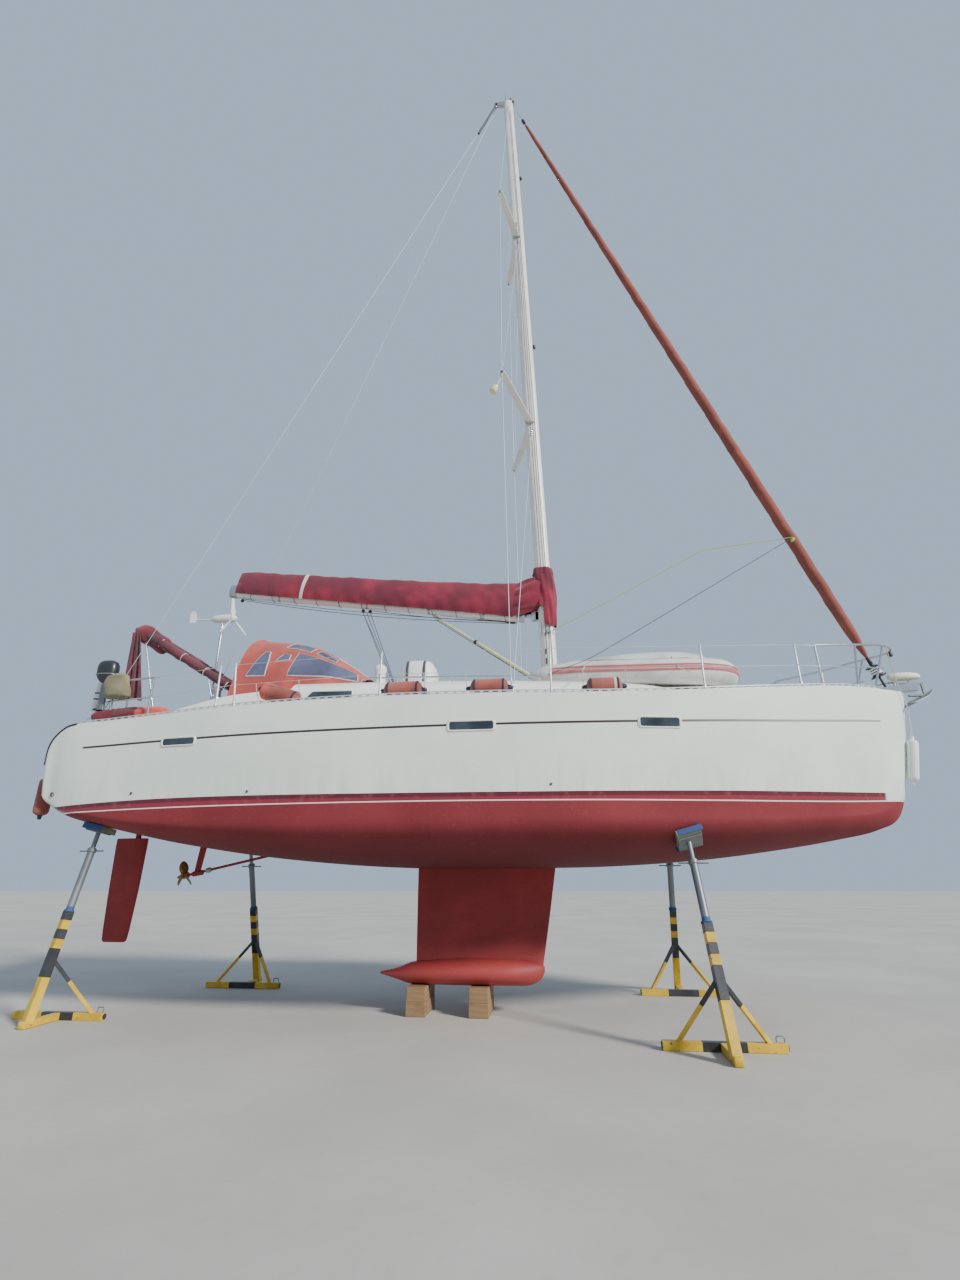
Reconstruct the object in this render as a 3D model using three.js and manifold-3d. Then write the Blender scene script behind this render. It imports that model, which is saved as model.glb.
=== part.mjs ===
// A cruising sailing yacht of 12.1 m, laid up ashore on two keel blocks and four boat stands.
// Millimetres. +X runs to the bow, +Y to port, +Z up, and z = 0 is the ground. The origin is
// midway between the tip of the anchor and the fender behind the stern.
import * as THREE from 'three';
import Module from 'manifold-3d';
import { mergeVertices } from 'three/addons/utils/BufferGeometryUtils.js';

const wasm = await Module();
wasm.setup();

// Driving dimensions. Heights in the tables are counted from the waterline.
const WATERLINE = 2363;
const DRAFT = 2020;
const STERN_END = -6160;
const PART_REACH = 6360;
const DECK_CROWN = 70;
const SEAT_GAP = 0.3;

const MAST_BASE_X = 988;
const MAST_RAKE = 0.02846;
const MAST_HEAD = 16300;
const SPREADER_HEIGHTS = { lower: 7030, upper: 11780 };
const SPREADER_TIPS = { lower: 1340, upper: 1030 };
const SPREADER_TIP_X = 370;
const SPREADER_RISE = 10;
const CHAINPLATE = { x: 420, cap: 1330, lower: 1285 };

const BOOM_PIVOT = { x: 690, h: 3250 };
const BOOM_END = { x: -4550, h: 4010 };

const STAND_PLACES = [
  { name: 'fore_starboard', x: 2550, foot: 2180, side: -1, padX: 2480, padY: 1330 },
  { name: 'fore_port', x: 2700, foot: 2180, side: 1, padX: 2650, padY: 1300 },
  { name: 'aft_starboard', x: -5450, foot: 1500, side: -1, padX: -5280, padY: 1130 },
  { name: 'aft_port', x: -4300, foot: 2180, side: 1, padX: -4250, padY: 1250 },
];

const z = (height) => WATERLINE + height;
const vec = (x, y, h) => new THREE.Vector3(x, y, z(h));

// Paints, with the finish of each.
const finish = (color, roughness = 0.5, metalness = 0) =>
  new THREE.MeshStandardMaterial({ color, roughness, metalness });
const GELCOAT = finish(0xd9dfd6, 0.3);
const DECK_WHITE = finish(0xe9e8e0, 0.55);
const BOTTOM_RED = finish(0x8c2f2e, 0.85);
const CANVAS_RED = finish(0x8a1f33, 0.9);
const FADED_RED = finish(0xb24a44, 0.9);
const SPAR_WHITE = finish(0xdedfdc, 0.4, 0.3);
const STEEL = finish(0xb9bdc0, 0.25, 0.9);
const WIRE = finish(0x9ea3a8, 0.35, 0.9);
const TIMBER = finish(0xa2855c, 0.85);
const YELLOW = finish(0xd6b021, 0.6);
const RUBBER_GREY = finish(0xd8d2cf, 0.7);
const PLASTIC_WHITE = finish(0xe6e7e3, 0.45);
const BLACK = finish(0x1d1f22, 0.5);
const ACRYLIC = finish(0x3b4247, 0.2);
const GALVANISED = finish(0x8d9294, 0.55, 0.7);
const VANG_GREEN = finish(0xa9b48c, 0.6);
const BRONZE = finish(0x9a7a4a, 0.4, 0.8);

const yacht = new THREE.Group();

function add(name, geometry, material) {
  const mesh = new THREE.Mesh(geometry, material);
  mesh.name = name;
  yacht.add(mesh);
}

// Solids: a closed geometry becomes one that can be joined and cut, and goes back again.
function solid(geometry) {
  const bare = geometry.index ? geometry.toNonIndexed() : geometry.clone();
  bare.deleteAttribute('normal');
  bare.deleteAttribute('uv');
  const merged = mergeVertices(bare, 1e-3);
  return new wasm.Manifold(new wasm.Mesh({
    numProp: 3,
    vertProperties: new Float32Array(merged.attributes.position.array),
    triVerts: new Uint32Array(merged.index.array),
  }));
}

function geometryOf(body) {
  const mesh = body.getMesh();
  const geometry = new THREE.BufferGeometry();
  geometry.setAttribute('position', new THREE.BufferAttribute(new Float32Array(mesh.vertProperties), 3));
  geometry.setIndex(new THREE.BufferAttribute(new Uint32Array(mesh.triVerts), 1));
  geometry.computeVertexNormals();
  return geometry;
}

const joined = (...bodies) => bodies.reduce((whole, body) => whole.add(body));
const without = (body, ...cutters) => cutters.reduce((left, cutter) => left.subtract(cutter), body);

// The piece of a cut body that holds the most.
function largest(body) {
  const pieces = body.decompose();
  return pieces.reduce((best, piece) => (piece.volume() > best.volume() ? piece : best));
}

// A closed body through rings of points that all have the same count.
function loft(rings) {
  const count = rings[0].length;
  const positions = rings.flat().flatMap((p) => [p.x, p.y, p.z]);
  const faces = [];
  for (let r = 0; r + 1 < rings.length; r += 1) {
    for (let i = 0; i < count; i += 1) {
      const a = r * count + i;
      const b = r * count + ((i + 1) % count);
      faces.push([a, b, b + count], [a, b + count, a + count]);
    }
  }
  for (const [a, b, c] of capTriangles(rings[0])) faces.push([a, c, b]);
  const lastRing = positions.length / 3 - count;
  for (const [a, b, c] of capTriangles(rings.at(-1))) faces.push([lastRing + a, lastRing + b, lastRing + c]);
  const geometry = new THREE.BufferGeometry();
  geometry.setAttribute('position', new THREE.Float32BufferAttribute(positions, 3));
  geometry.setIndex(faces.flat());
  if (signedVolume(positions, faces) < 0) {
    geometry.setIndex(faces.map(([a, b, c]) => [a, c, b]).flat());
  }
  return solid(geometry);
}

// The ring's own plane gives two axes, in which its outline is cut into triangles.
function capTriangles(ring) {
  const normal = new THREE.Vector3();
  ring.forEach((p, i) => normal.add(p.clone().cross(ring[(i + 1) % ring.length])));
  normal.normalize();
  const across = Math.abs(normal.z) > 0.9 ? new THREE.Vector3(1, 0, 0) : new THREE.Vector3(0, 0, 1);
  const u = across.clone().cross(normal).normalize();
  const v = normal.clone().cross(u);
  const flat = ring.map((p) => new THREE.Vector2(p.dot(u), p.dot(v)));
  return THREE.ShapeUtils.triangulateShape(flat, []);
}

function signedVolume(positions, faces) {
  const at = (i) => new THREE.Vector3(...positions.slice(3 * i, 3 * i + 3));
  return faces.reduce((sum, [a, b, c]) => sum + at(a).dot(at(b).cross(at(c))), 0);
}

const ordered = (a, b) => (a < b ? [a, b] : [b, a]);

function block(x0, x1, y0, y1, z0, z1) {
  const geometry = new THREE.BoxGeometry(x1 - x0, y1 - y0, z1 - z0);
  geometry.translate((x0 + x1) / 2, (y0 + y1) / 2, (z0 + z1) / 2);
  return solid(geometry);
}

// A round bar between two points, and a square one.
function rod(from, to, radius, sides = 8, endRadius = radius) {
  const along = to.clone().sub(from);
  const geometry = new THREE.CylinderGeometry(endRadius, radius, along.length(), sides);
  return solid(laid(geometry, from, to));
}

function bar(from, to, width, depth) {
  const geometry = new THREE.BoxGeometry(width, to.distanceTo(from), depth);
  return solid(laid(geometry, from, to));
}

function laid(geometry, from, to) {
  const along = to.clone().sub(from).normalize();
  geometry.applyQuaternion(new THREE.Quaternion().setFromUnitVectors(new THREE.Vector3(0, 1, 0), along));
  const middle = from.clone().add(to).multiplyScalar(0.5);
  geometry.translate(middle.x, middle.y, middle.z);
  return geometry;
}

// A round tube through points, with a mitred ring at each bend.
function pipe(points, radius, sides = 8) {
  const radii = Array.isArray(radius) ? radius : points.map(() => radius);
  let side = null;
  const rings = points.map((point, i) => {
    const before = points[Math.max(i - 1, 0)];
    const after = points[Math.min(i + 1, points.length - 1)];
    const into = point.clone().sub(before).normalize();
    const out = after.clone().sub(point).normalize();
    const along = into.clone().add(out).normalize();
    const start = Math.abs(along.z) > 0.9 ? new THREE.Vector3(1, 0, 0) : new THREE.Vector3(0, 0, 1);
    side = (side ?? start).clone().addScaledVector(along, -(side ?? start).dot(along)).normalize();
    const other = along.clone().cross(side);
    return Array.from({ length: sides }, (_, k) => {
      const turn = (2 * Math.PI * k) / sides;
      return point.clone()
        .addScaledVector(side, radii[i] * Math.cos(turn))
        .addScaledVector(other, radii[i] * Math.sin(turn));
    });
  });
  return loft(rings);
}

// A body turned about an axis that runs from one point to another; each row is [distance, radius].
function turned(from, to, profile, sides = 12) {
  const along = to.clone().sub(from).normalize();
  return pipe(profile.map(([distance]) => from.clone().addScaledVector(along, distance)),
    profile.map(([, radius]) => radius), sides);
}

// A smooth curve through the rows of a table, for one of its columns.
function column(rows, key) {
  const slope = (i) => {
    const a = rows[Math.max(i - 1, 0)];
    const b = rows[Math.min(i + 1, rows.length - 1)];
    return (b[key] - a[key]) / (b.x - a.x);
  };
  return (x) => {
    const next = rows.findIndex((row) => row.x > x);
    const from = next < 0 ? rows.length - 2 : Math.max(next - 1, 0);
    const [a, b] = [rows[from], rows[from + 1]];
    const span = b.x - a.x;
    const t = Math.min(Math.max((x - a.x) / span, 0), 1);
    const [t2, t3] = [t * t, t * t * t];
    return (2 * t3 - 3 * t2 + 1) * a[key] + (t3 - 2 * t2 + t) * span * slope(from)
      + (3 * t2 - 2 * t3) * b[key] + (t3 - t2) * span * slope(from + 1);
  };
}

// Hull. Each row is a station: its keel line, the height and half-breadth at the turn of the
// bilge, the height and half-breadth of the deck edge, and how full the bilge is (2 is a plain V).
const STATIONS = [
  [-6160, 400, 500, 1290, 770, 1350, 1.0],
  [-6115, 240, 400, 1330, 1030, 1400, 0.9],
  [-6000, 150, 330, 1330, 1210, 1430, 0.85],
  [-5780, 60, 230, 1380, 1325, 1480, 0.8],
  [-5250, -60, 120, 1460, 1355, 1540, 0.8],
  [-4300, -250, 20, 1600, 1390, 1670, 0.8],
  [-3000, -430, 0, 1730, 1440, 1830, 0.8],
  [-1400, -550, 0, 1830, 1460, 1920, 0.82],
  [200, -565, 0, 1845, 1450, 1930, 0.85],
  [1600, -550, 0, 1700, 1440, 1830, 0.92],
  [2900, -470, 0, 1330, 1490, 1590, 1.0],
  [3900, -350, 20, 900, 1580, 1250, 1.15],
  [4700, -220, 60, 510, 1670, 880, 1.35],
  [5250, -90, 140, 260, 1725, 540, 1.6],
  [5560, 130, 380, 120, 1755, 300, 1.8],
  [5780, 850, 1000, 60, 1775, 130, 2.0],
  [5925, 1690, 1720, 18, 1785, 32, 2.0],
].map(([x, keel, turnH, turnY, deckH, deckY, full]) => ({ x, keel, turnH, turnY, deckH, deckY, full }));

const hullLine = Object.fromEntries(Object.keys(STATIONS[0]).map((key) => [key, column(STATIONS, key)]));
const BILGE_STEPS = 6;
const TOPSIDE_STEPS = 3;

// Half a section, from the keel line out and up to the deck edge and in to the middle of the deck.
function halfSection(x) {
  const at = (key) => hullLine[key](x);
  const half = [];
  for (let i = 0; i <= BILGE_STEPS; i += 1) {
    const turn = (Math.PI / 2) * (i / BILGE_STEPS);
    half.push([at('turnY') * Math.sin(turn) ** at('full'),
      at('turnH') - (at('turnH') - at('keel')) * Math.cos(turn) ** at('full')]);
  }
  for (let i = 1; i <= TOPSIDE_STEPS; i += 1) {
    const t = i / TOPSIDE_STEPS;
    half.push([at('turnY') + (at('deckY') - at('turnY')) * (1 - (1 - t) ** 1.5),
      at('turnH') + (at('deckH') - at('turnH')) * t]);
  }
  const crown = DECK_CROWN * Math.min(1, at('deckY') / 1500);
  half.push([at('deckY') * 0.5, at('deckH') + crown * 0.75], [0, at('deckH') + crown]);
  return half;
}

function hullRing(x) {
  const half = halfSection(x);
  const port = half.map(([y, h]) => vec(x, y, h));
  const starboard = half.slice(1, -1).reverse().map(([y, h]) => vec(x, -y, h));
  return [...port, ...starboard];
}

const hullStationsX = [];
for (const [i, row] of STATIONS.entries()) {
  hullStationsX.push(row.x);
  const next = STATIONS[i + 1];
  if (next && next.x - row.x > 700) hullStationsX.push((row.x + next.x) / 2);
}
const bareHull = loft(hullStationsX.map(hullRing));

// Cockpit, companionway, bathing step and the bore for the rudder stock, cut from the hull.
const COCKPIT = { aft: -5050, fore: -2740, halfSeats: 740, halfWell: 370, seatH: 1130, soleH: 740 };
const COMPANION = { aft: -2660, fore: -2000, half: 330, soleH: 700 };
const BATHING_STEP = { fore: -5640, half: 640, h: 440 };
const RUDDER = { stockX: -5470, stockRadius: 40, topH: -110, footH: -1555 };

const cockpitCut = joined(
  block(COCKPIT.aft, COCKPIT.fore, -COCKPIT.halfSeats, COCKPIT.halfSeats, z(COCKPIT.seatH), z(2500)),
  block(COCKPIT.aft + 300, COCKPIT.fore, -COCKPIT.halfWell, COCKPIT.halfWell, z(COCKPIT.soleH), z(2500)),
);
const companionCut = block(COMPANION.aft, COMPANION.fore, -COMPANION.half, COMPANION.half,
  z(COMPANION.soleH), z(1940));
const stepCut = block(STERN_END - 100, BATHING_STEP.fore, -BATHING_STEP.half, BATHING_STEP.half,
  z(BATHING_STEP.h), z(2500));
const stockBore = rod(vec(RUDDER.stockX, 0, -400), vec(RUDDER.stockX, 0, 150), RUDDER.stockRadius + 0.7, 24);
// Lugs at the edge of the step, between which the boarding ladder swings.
const LADDER = { x: -6185, h: 455, half: 150, tube: 13, topH: 1270 };
const ladderLugs = [-1, 1].map((side) => {
  const inner = LADDER.half + LADDER.tube + SEAT_GAP;
  return block(LADDER.x - 15, LADDER.x + 70, ...ordered(side * inner, side * (inner + 14)),
    z(LADDER.h - 28), z(LADDER.h + 15));
});
const hull = joined(without(bareHull, cockpitCut, companionCut, stepCut, stockBore), ...ladderLugs);
add('hull', geometryOf(hull), GELCOAT);

// The same hull a touch higher or lower, to seat what stands on it or hangs below it.
const hullRaised = bareHull.translate(0, 0, SEAT_GAP);
const hullLowered = bareHull.translate(0, 0, -SEAT_GAP);
// The height of the bottom at a place out from the keel line.
function bottomH(x, y) {
  const half = halfSection(x);
  const i = half.findIndex(([reach]) => reach > y) - 1;
  const [[y0, h0], [y1, h1]] = [half[i], half[i + 1]];
  return h0 + ((h1 - h0) * (y - y0)) / (y1 - y0);
}
const edge = (x, inboard = 0) => ({ y: hullLine.deckY(x) - inboard, h: hullLine.deckH(x) });

// Keel: a fin of foil section on a bulb with a long tail, flat below.
// Rows of the fin: height, leading edge, trailing edge, half thickness.
const FIN = [
  [-480, 900, -1062, 90],
  [-1250, 770, -1058, 80],
  [-1950, 640, -1050, 75],
];
function foilRing(lead, trail, half, place) {
  const chord = lead - trail;
  const shape = [[0, 0], [0.04, 0.5], [0.15, 0.85], [0.35, 1], [0.6, 0.78], [0.82, 0.38], [1, 0.06]];
  const port = shape.map(([t, w]) => place(lead - t * chord, w * half));
  const starboard = shape.slice(1).reverse().map(([t, w]) => place(lead - t * chord, -w * half));
  return [...port, ...starboard];
}
const fin = loft(FIN.map(([h, lead, trail, half]) => foilRing(lead, trail, half, (x, y) => vec(x, y, h))));
// Rows of the bulb: x, centre height, half width, half height.
const BULB = [
  [-1545, -1895, 30, 14],
  [-1300, -1900, 110, 72],
  [-1115, -1890, 170, 132],
  [-850, -1880, 225, 150],
  [-300, -1865, 275, 170],
  [200, -1865, 260, 170],
  [480, -1865, 185, 160],
  [640, -1850, 90, 100],
  [690, -1830, 25, 30],
];
const bulb = loft(BULB.map(([x, h, wide, high]) => Array.from({ length: 14 }, (_, k) => {
  const turn = (2 * Math.PI * k) / 14;
  return vec(x, wide * Math.cos(turn), h + high * Math.sin(turn));
})));
const belowKeel = block(-2000, 1200, -500, 500, z(-DRAFT - 400), z(-DRAFT));
add('keel', geometryOf(without(joined(fin, bulb), hullLowered, belowKeel)), BOTTOM_RED);

// Rudder: a spade blade on a round stock that turns in the hull.
const blade = loft([
  [RUDDER.topH, -5300, -5820, 62],
  [-850, -5320, -5800, 50],
  [RUDDER.footH, -5365, -5770, 34],
].map(([h, lead, trail, half]) => foilRing(lead, trail, half, (x, y) => vec(x, y, h))));
const stock = rod(vec(RUDDER.stockX, 0, RUDDER.topH - 60), vec(RUDDER.stockX, 0, 140),
  RUDDER.stockRadius, 24);
add('rudder', geometryOf(joined(blade, stock)), BOTTOM_RED);

// Propeller shaft on its strut, and a three-bladed propeller.
const SHAFT = { foreX: -3300, foreH: -430, aftX: -4560, aftH: -640, radius: 20 };
const shaftFore = vec(SHAFT.foreX, 0, SHAFT.foreH + 60);
const shaftAft = vec(SHAFT.aftX, 0, SHAFT.aftH);
const strut = bar(vec(-4440, 0, -630), vec(-4370, 0, -150), 110, 26);
const strutBoss = rod(vec(-4500, 0, -630), vec(-4330, 0, -602), 38, 12);
add('shaft_and_strut', geometryOf(largest(without(
  joined(rod(shaftFore, shaftAft, SHAFT.radius, 10), strut, strutBoss), hullLowered))), BOTTOM_RED);
const shaftDirection = shaftAft.clone().sub(shaftFore).normalize();
const hubStart = shaftAft.clone().addScaledVector(shaftDirection, SEAT_GAP);
const hubEnd = hubStart.clone().addScaledVector(shaftDirection, 130);
const hubMiddle = hubStart.clone().add(hubEnd).multiplyScalar(0.5);
// A flat six-sided section, and the blade's rows: radius, half its chord, half its thickness.
const LENS = [[1, 0], [0.4, 1], [-0.4, 1], [-1, 0], [-0.4, -1], [0.4, -1]];
const PROPELLER_BLADE = [[15, 35, 9], [90, 75, 7], [160, 70, 5], [215, 26, 3]];
const propellerBlades = [0, 120, 240].map((degrees) => {
  const turn = THREE.MathUtils.degToRad(degrees);
  const outward = new THREE.Vector3(0, Math.sin(turn), Math.cos(turn));
  outward.addScaledVector(shaftDirection, -outward.dot(shaftDirection)).normalize();
  const sideways = outward.clone().cross(shaftDirection);
  const chordLine = sideways.clone().multiplyScalar(0.85).addScaledVector(shaftDirection, 0.53).normalize();
  const flatLine = chordLine.clone().cross(outward);
  return loft(PROPELLER_BLADE.map(([radius, half, thick]) => {
    const middle = hubMiddle.clone().addScaledVector(outward, radius);
    return LENS.map(([c, f]) => middle.clone()
      .addScaledVector(chordLine, c * half).addScaledVector(flatLine, f * thick));
  }));
});
add('propeller', geometryOf(joined(rod(hubStart, hubEnd, 45, 12, 30), ...propellerBlades)), BRONZE);

// Deckhouse: coachroof and cockpit coamings, one moulding. Rows of the roof: x, half width at
// the foot, half width at the top, height of the top edge.
const ROOF = [
  [-2700, 1280, 1100, 1930],
  [-1200, 1260, 1080, 1915],
  [300, 1180, 1010, 1890],
  [1400, 1060, 880, 1870],
  [2300, 880, 700, 1840],
  [2900, 700, 540, 1740],
  [3350, 480, 380, 1600],
];
const ROOF_CROWN = 60;
const roofBody = loft(ROOF.map(([x, foot, top, h]) => [
  vec(x, foot, 1200), vec(x, foot - 20, h - 130), vec(x, top + 30, h - 25), vec(x, top - 60, h + 12),
  vec(x, top / 2, h + ROOF_CROWN * 0.75), vec(x, 0, h + ROOF_CROWN),
  vec(x, -top / 2, h + ROOF_CROWN * 0.75), vec(x, -top + 60, h + 12), vec(x, -top - 30, h - 25),
  vec(x, -foot + 20, h - 130), vec(x, -foot, 1200),
]));
// Rows of a coaming: x, inner and outer face at the foot, inner and outer face at the top, height.
const COAMING = [
  [-4980, 770, 1120, 790, 1060, 1500],
  [-4500, 770, 1200, 790, 1140, 1600],
  [-3700, 770, 1270, 790, 1210, 1760],
  [-2690, 770, 1290, 790, 1230, 1830],
];
const coamings = [-1, 1].map((side) => loft(COAMING.map(([x, footIn, footOut, topIn, topOut, h]) => [
  vec(x, side * footIn, 1100), vec(x, side * topIn, h),
  vec(x, side * topOut, h), vec(x, side * footOut, 1100),
])));
// Round pads on the coamings for the winches.
const WINCH = { x: -3950, y: 1000, seatH: 1735 };
const winchPads = [-1, 1].map((side) => rod(vec(WINCH.x, side * WINCH.y, 1500),
  vec(WINCH.x, side * WINCH.y, WINCH.seatH), 92, 16));
// Lugs on the coamings for the pins of the bimini's bows.
const BIMINI = { pivotX: -3620, pivotH: 1860, halfWidth: 930, topX: -5430, topH: 2970, tube: 16 };
const lugFace = BIMINI.halfWidth - BIMINI.tube - SEAT_GAP;
const lugs = [-1, 1].map((side) => block(BIMINI.pivotX - 30, BIMINI.pivotX + 30,
  ...ordered(side * (lugFace - 20), side * lugFace), z(1600), z(BIMINI.pivotH + 30)));
// Runners on the roof that carry the sliding hatch.
const HATCH = { aft: -2720, fore: -2060, half: 390, h: 2010, travel: 420, thick: 45 };
const runners = [-1, 1].map((side) => block(HATCH.aft, HATCH.fore + HATCH.travel,
  side * 360 - 18, side * 360 + 18, z(1900), z(HATCH.h)));
// An upstand on the roof that carries the saloon's hatch.
const SALOON_HATCH = { aft: -560, fore: -40, half: 270, h: 1985 };
const upstand = block(SALOON_HATCH.aft - 20, SALOON_HATCH.fore + 20, -SALOON_HATCH.half - 20,
  SALOON_HATCH.half + 20, z(1850), z(SALOON_HATCH.h));
const deckhouse = largest(without(
  joined(roofBody, ...coamings, ...winchPads, ...lugs, ...runners, upstand),
  hullRaised,
  companionCut,
  block(-2710, COMPANION.fore, -COMPANION.half, COMPANION.half, z(1300), z(2200)),
));
add('deckhouse', geometryOf(deckhouse), DECK_WHITE);
const houseRaised = deckhouse.translate(0, 0, SEAT_GAP);

// Companionway: a board across the opening and the sliding hatch above it.
add('washboard', geometryOf(without(block(-2695, -2665, -COMPANION.half + 1, COMPANION.half - 1,
  z(1200), z(HATCH.h - 8)), hullRaised)), ACRYLIC);
add('companion_hatch', geometryOf(block(HATCH.aft, HATCH.fore, -HATCH.half, HATCH.half,
  z(HATCH.h) + SEAT_GAP, z(HATCH.h + HATCH.thick))), ACRYLIC);

// Deck hatch and locker lids. Each is a flat panel; its hinge runs along one edge.
add('saloon_hatch', geometryOf(block(SALOON_HATCH.aft, SALOON_HATCH.fore, -SALOON_HATCH.half,
  SALOON_HATCH.half, z(SALOON_HATCH.h) + SEAT_GAP, z(SALOON_HATCH.h + 28))), ACRYLIC);
const BOW_LID = { aft: 4560, fore: 5120, aftHalf: 300, foreHalf: 170, thick: 26 };
const lidTopH = (x) => hullLine.deckH(x) + DECK_CROWN * Math.min(1, hullLine.deckY(x) / 1500);
const bowLid = loft([[BOW_LID.aft, BOW_LID.aftHalf], [BOW_LID.fore, BOW_LID.foreHalf]].map(([x, half]) => [
  vec(x, half, lidTopH(x) - 60), vec(x, half, lidTopH(x) + BOW_LID.thick),
  vec(x, -half, lidTopH(x) + BOW_LID.thick), vec(x, -half, lidTopH(x) - 60),
]));
add('anchor_locker_lid', geometryOf(without(bowLid, hullRaised)), DECK_WHITE);
const LOCKER = { aft: -3900, fore: -2900, inner: 395, outer: 700, thick: 30 };
for (const [name, side] of [['port', 1], ['starboard', -1]]) {
  add(`locker_lid_${name}`, geometryOf(block(LOCKER.aft, LOCKER.fore,
    ...ordered(side * LOCKER.inner, side * LOCKER.outer),
    z(COCKPIT.seatH) + SEAT_GAP, z(COCKPIT.seatH + LOCKER.thick))), DECK_WHITE);
}

// Toe rails with their stanchions, one on each side.
const STANCHIONS_X = [-3530, -3250, -1230, 950, 2860, 4180];
const STANCHION = { height: 620, radius: 13, inboard: 62 };
const RAIL_ENDS = { aft: -5650, fore: 5380 };
const railX = hullStationsX.filter((x) => x > RAIL_ENDS.aft && x < RAIL_ENDS.fore);
for (const [name, side] of [['port', 1], ['starboard', -1]]) {
  const strip = loft([RAIL_ENDS.aft, ...railX, RAIL_ENDS.fore].map((x) => {
    const { y, h } = edge(x);
    return [vec(x, side * (y - 46), h - 40), vec(x, side * (y - 46), h + 42),
      vec(x, side * (y - 14), h + 42), vec(x, side * (y - 14), h - 40)];
  }));
  const posts = STANCHIONS_X.map((x) => {
    const { y, h } = edge(x, STANCHION.inboard);
    return joined(rod(vec(x, side * y, h - 30), vec(x, side * y, h + 30), 34, 8),
      rod(vec(x, side * y, h), vec(x, side * y, h + STANCHION.height), STANCHION.radius, 8));
  });
  const rail = without(joined(strip, ...posts), hullRaised, houseRaised);
  add(`toe_rail_${name}`, geometryOf(largest(rail)), STEEL);
}

// Pulpit round the bow, and a pushpit on each quarter.
const RAIL_TUBE = 15;
const post = (x, y, h, topX = x, topY = y) =>
  rod(vec(x, y, hullLine.deckH(x) - 30), vec(topX, topY, h), RAIL_TUBE, 8);
const inside = (x, side) => side * (hullLine.deckY(x) - 85);
const PULPIT_H = { aft: 2260, fore: 2400, middle: 2010 };
const pulpitTop = pipe([vec(4520, 860, PULPIT_H.aft), vec(5150, 610, 2330), vec(5650, 330, PULPIT_H.fore),
  vec(5880, 130, PULPIT_H.fore), vec(5880, -130, PULPIT_H.fore), vec(5650, -330, PULPIT_H.fore),
  vec(5150, -610, 2330), vec(4520, -860, PULPIT_H.aft)], RAIL_TUBE);
const pulpitMiddle = [-1, 1].map((side) => pipe([vec(4520, side * 860, 1960),
  vec(5150, side * 590, PULPIT_H.middle), vec(5600, side * 320, 2060)], RAIL_TUBE - 4));
const pulpitPosts = [-1, 1].flatMap((side) => [
  post(4520, inside(4520, side), PULPIT_H.aft, 4520, side * 860),
  post(5100, inside(5100, side), 2330, 5150, side * 610),
  post(5420, inside(5420, side), PULPIT_H.fore, 5650, side * 330),
]);
const pulpit = without(joined(pulpitTop, ...pulpitMiddle, ...pulpitPosts), hullRaised);
add('pulpit', geometryOf(largest(pulpit)), STEEL);

const PUSHPIT_H = 1980;
const QUARTER = [[-4650, 1490], [-5300, 1390], [-5590, 1280], [-5630, 1000], [-5630, 640]];
const quarterRail = (side, h, radius) => pipe(QUARTER.map(([x, y]) => vec(x, side * y, h)), radius);
for (const [name, side] of [['port', 1], ['starboard', -1]]) {
  const posts = [0, 1, 3, 4].map((i) => post(QUARTER[i][0], side * QUARTER[i][1], PUSHPIT_H));
  add(`pushpit_${name}`, geometryOf(largest(without(joined(quarterRail(side, PUSHPIT_H, RAIL_TUBE),
    quarterRail(side, PUSHPIT_H - 290, RAIL_TUBE), ...posts), hullRaised, houseRaised))), STEEL);
}

// Bow roller and the anchor stowed on it.
const roller = joined(
  block(5560, 6130, -62, -50, z(1765), z(1900)),
  block(5560, 6130, 50, 62, z(1765), z(1900)),
  block(5560, 6130, -62, 62, z(1765), z(1802)),
  rod(vec(6080, -60, 1850), vec(6080, 60, 1850), 32, 12),
);
const bowRoller = largest(without(roller, hullRaised, bareHull.translate(SEAT_GAP, 0, 0),
  ...[-1, 1].map((side) => bareHull.translate(0, side * SEAT_GAP, 0))));
add('bow_roller', geometryOf(bowRoller), STEEL);
const shank = block(5850, 6230, -9, 9, z(1882) + SEAT_GAP, z(1926));
const fluke = (side) => loft([
  [vec(5980, side * 20, 1640), vec(5990, side * 190, 1600),
    vec(6000, side * 190, 1585), vec(5990, side * 20, 1620)],
  [vec(6220, side * 20, 1760), vec(6210, side * 120, 1700),
    vec(6220, side * 120, 1685), vec(6230, side * 20, 1735)],
  [vec(PART_REACH, side * 4, 1835), vec(PART_REACH, side * 14, 1830),
    vec(PART_REACH, side * 14, 1820), vec(PART_REACH, side * 4, 1822)],
]);
const crownBar = bar(vec(6210, 0, 1920), vec(6210, 0, 1715), 40, 30);
add('anchor', geometryOf(joined(shank, crownBar, fluke(1), fluke(-1),
  block(6000, 6230, -24, 24, z(1715), z(1745)))), GALVANISED);

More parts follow.
